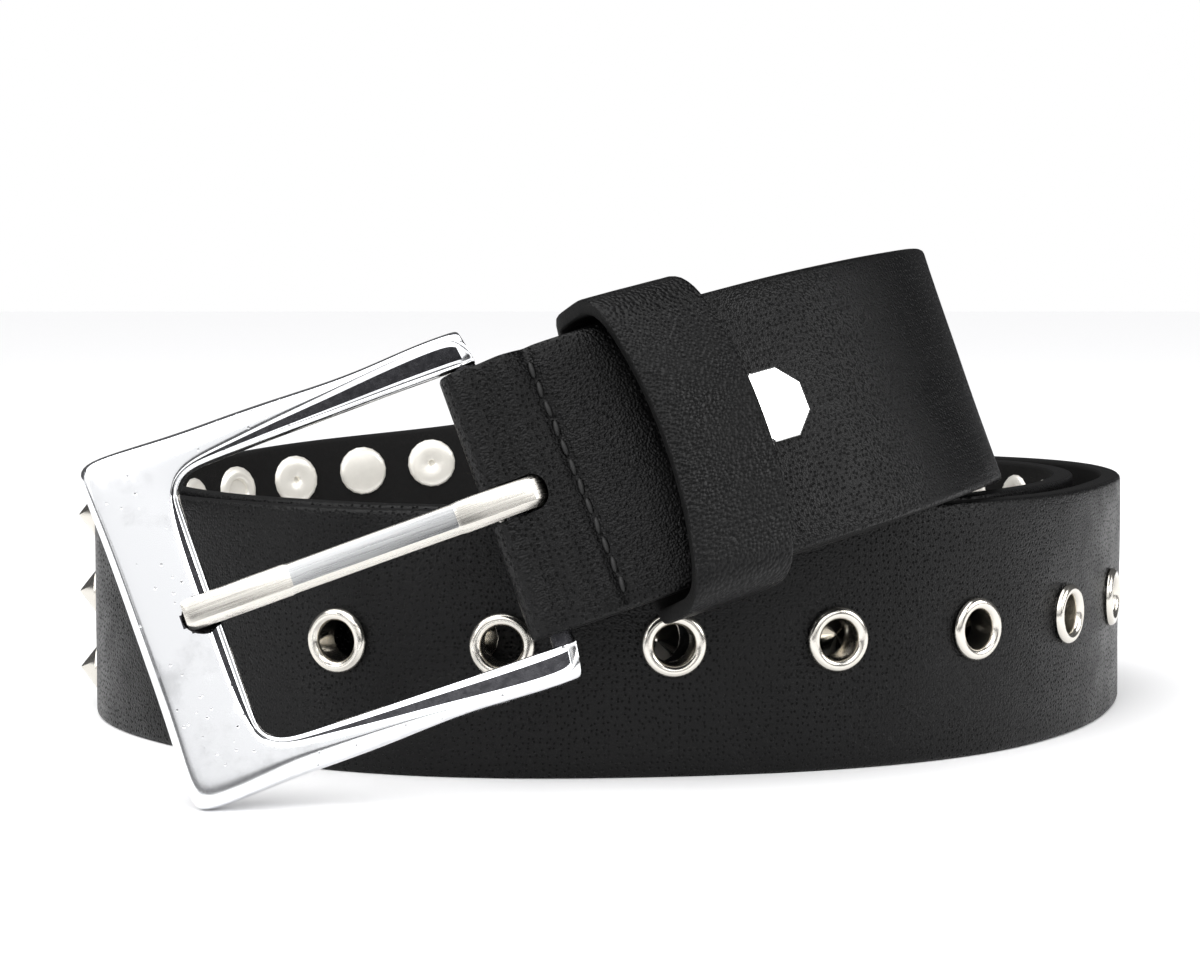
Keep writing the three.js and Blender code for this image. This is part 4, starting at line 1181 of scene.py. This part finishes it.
# Each row: along, height of the middle, width, thickness
BLADE_ROWS = [
    (-3.5, 3.9, 4.5, 2.0), (-7.3, 3.75, 4.5, 2.0), (-8.1, 3.55, 4.3, 1.65), (-19.0, 3.35, 4.2, 1.6),
    (-31.4, 3.1, 4.2, 1.6), (-32.0, 3.15, 4.4, 1.95), (-39.0, 2.95, 4.4, 2.1),
    (-43.6, 2.6, 4.3, 2.2), (-45.4, 2.4, 4.3, 2.2), (-46.3, 2.25, 4.1, 1.9),
]
GROUND_FROM, GROUND_TO = -31.5, -8.0
TOP_ROUND, LOW_ROUND = 0.45, 0.95
PRONG_SHARP, PRONG_ROUND = 25.0, 0.14


def prong_section(a, b, out_a, out_b, wide, thick):
    """A rectangle with its corners cut, most at the lower front one, square to the prong's line."""
    half, deep = wide / 2, thick / 2
    corners = [
        (half - TOP_ROUND, deep), (half, deep - TOP_ROUND), (half, TOP_ROUND - deep),
        (half - TOP_ROUND, -deep), (TOP_ROUND - half, -deep), (-half, TOP_ROUND - deep),
        (-half, deep - LOW_ROUND), (LOW_ROUND - half, deep),
    ]
    return [Vector((a + out_a * d, c, b + out_b * d)) for c, d in corners]


line = []
for i in range(CURL_STEPS + 1):
    angle = math.radians(mix(CURL_FROM, CURL_TO, i / CURL_STEPS))
    line.append((CURL * math.cos(angle), CURL * math.sin(angle), PRONG_WIDTH, PRONG_THICK))
line += [(a, b, PRONG_WIDTH, PRONG_THICK) for a, b in ROOT_ROWS] + BLADE_ROWS
prong_rings = []
for i, (a, b, wide, thick) in enumerate(line):
    before, after = line[max(i - 1, 0)], line[min(i + 1, len(line) - 1)]
    size = math.hypot(after[0] - before[0], after[1] - before[1])
    out_a, out_b = (after[1] - before[1]) / size, -(after[0] - before[0]) / size
    prong_rings.append(prong_section(a, b, out_a, out_b, wide, thick))
prong = bmesh.new()
loft(prong, prong_rings)
bmesh.ops.recalc_face_normals(prong, faces=prong.faces)
long_edges = [e for e in prong.edges
              if e.is_manifold and e.calc_face_angle(0.0) > math.radians(PRONG_SHARP)]
round_edges(prong, long_edges, PRONG_ROUND, 2, clamp=True)
brush = prong.loops.layers.uv.new("brush")
for face in prong.faces:
    middle = face.calc_center_median()
    ground = GROUND_FROM < middle.x < GROUND_TO and face.normal.z > 0.9
    face.material_index = 1 if ground else 0
    for loop in face.loops:
        x, y, z = loop.vert.co
        loop[brush].uv = (x * MM, (y + (z if abs(face.normal.y) > 0.5 else 0.0)) * MM)
bmesh.ops.transform(prong, matrix=PRONG_MATRIX, verts=prong.verts)
finish_piece("prong_blade", prong, "prong", ["buckle_prong"],
             [satin_steel, ground_steel], 35.0)

# %% [markdown]
# The set is a white table in a dim room, as for a catalogue picture. Black leather and chrome show
# only by what they reflect, so most of the room stays dark. A broad soft sun whitens the table, a
# card behind the camera whitens the buckle's front, and cards above, left and right draw gleams.
# The camera alone sees the room white: a Light Path node tells its rays from reflected ones. The
# table ends in front of the belt, and past its edge the leather reflects only the dim room.

# %% Floor
TABLE_LEFT, TABLE_RIGHT, TABLE_FRONT, TABLE_BACK = -3.0, 3.0, -0.22, 6.0
floor_bm = bmesh.new()
table_size = Matrix.Diagonal((TABLE_RIGHT - TABLE_LEFT, TABLE_BACK - TABLE_FRONT, 1.0, 1.0))
table_middle = ((TABLE_LEFT + TABLE_RIGHT) / 2, (TABLE_BACK + TABLE_FRONT) / 2, 0.0)
bmesh.ops.create_grid(floor_bm, x_segments=1, y_segments=1, size=0.5,
                      matrix=Matrix.Translation(table_middle) @ table_size)
floor_mesh = bpy.data.meshes.new("floor")
floor_bm.to_mesh(floor_mesh)
floor_bm.free()
floor_material, floor_tree, floor_shader = new_material("pale_floor")
feed(floor_tree, floor_shader,
     {"Base Color": (0.95, 0.95, 0.955, 1.0), "Roughness": 0.8, "Specular IOR Level": 0.1})
floor_mesh.materials.append(floor_material)
floor = bpy.data.objects.new("floor", floor_mesh)
bpy.context.scene.collection.objects.link(floor)

# %% Lamps and room
ROOM_LIGHT = 0.1
SUN_STRENGTH, SUN_SPREAD, SUN_PLACE = 3.25, 75.0, (-0.35, -0.25, 1.0)
# Each row: name, place, point it is turned to, width and height, radiance. All in metres.
CARDS = [
    ("front_card", (-0.1, -1.35, 0.31), (0.0, 0.0, 0.05), (2.4, 0.4), 0.9),
    ("high_card", (0.1, -1.3, 0.86), (0.0, 0.0, 0.05), (2.0, 0.66), 2.6),
    ("left_card", (-1.2, -0.75, 0.36), (0.0, 0.0, 0.04), (1.3, 0.7), 0.8),
    ("right_lamp", (1.0, -0.3, 0.55), (0.05, 0.0, 0.05), (0.7, 0.7), 4.6),
    ("left_lamp", (-0.9, -0.75, 0.42), (0.0, 0.0, 0.04), (0.4, 0.4), 5.0),
]


def aimed(lamp, place, aim):
    """Puts a lamp at a place, turned to a point."""
    lamp.location = place
    lamp.rotation_euler = (Vector(aim) - Vector(place)).to_track_quat("-Z", "Y").to_euler()
    bpy.context.scene.collection.objects.link(lamp)


def area_light(name, place, aim, size, radiance):
    """A rectangular lamp of a given brightness, whatever its size."""
    data = bpy.data.lights.new(name, "AREA")
    data.shape = "RECTANGLE"
    data.size, data.size_y = size
    data.energy = radiance * math.pi * size[0] * size[1]
    aimed(bpy.data.objects.new(name, data), place, aim)


sun_data = bpy.data.lights.new("soft_sun", "SUN")
sun_data.energy = SUN_STRENGTH
sun_data.angle = math.radians(SUN_SPREAD)
aimed(bpy.data.objects.new("soft_sun", sun_data), SUN_PLACE, (0.0, 0.0, 0.0))
for card in CARDS:
    area_light(*card)

world = bpy.data.worlds.new("room")
world.use_nodes = True
room = world.node_tree
room_seen = room.nodes["Background"]
feed(room, room_seen, {"Color": (1.0, 1.0, 1.0, 1.0)})
room_dim = room.nodes.new("ShaderNodeBackground")
feed(room, room_dim, {"Color": (ROOM_LIGHT, ROOM_LIGHT, ROOM_LIGHT * 1.03, 1.0)})
room_path = room.nodes.new("ShaderNodeLightPath")
room_choice = room.nodes.new("ShaderNodeMixShader")
rooms = {1: room_dim.outputs["Background"], 2: room_seen.outputs["Background"]}
feed(room, room_choice, {"Fac": room_path.outputs["Is Camera Ray"], **rooms})
feed(room, room.nodes["World Output"], {"Surface": room_choice.outputs["Shader"]})
bpy.context.scene.world = world
bpy.context.scene.view_settings.view_transform = "Standard"
bpy.context.scene.view_settings.look = "None"
print("stage is set")
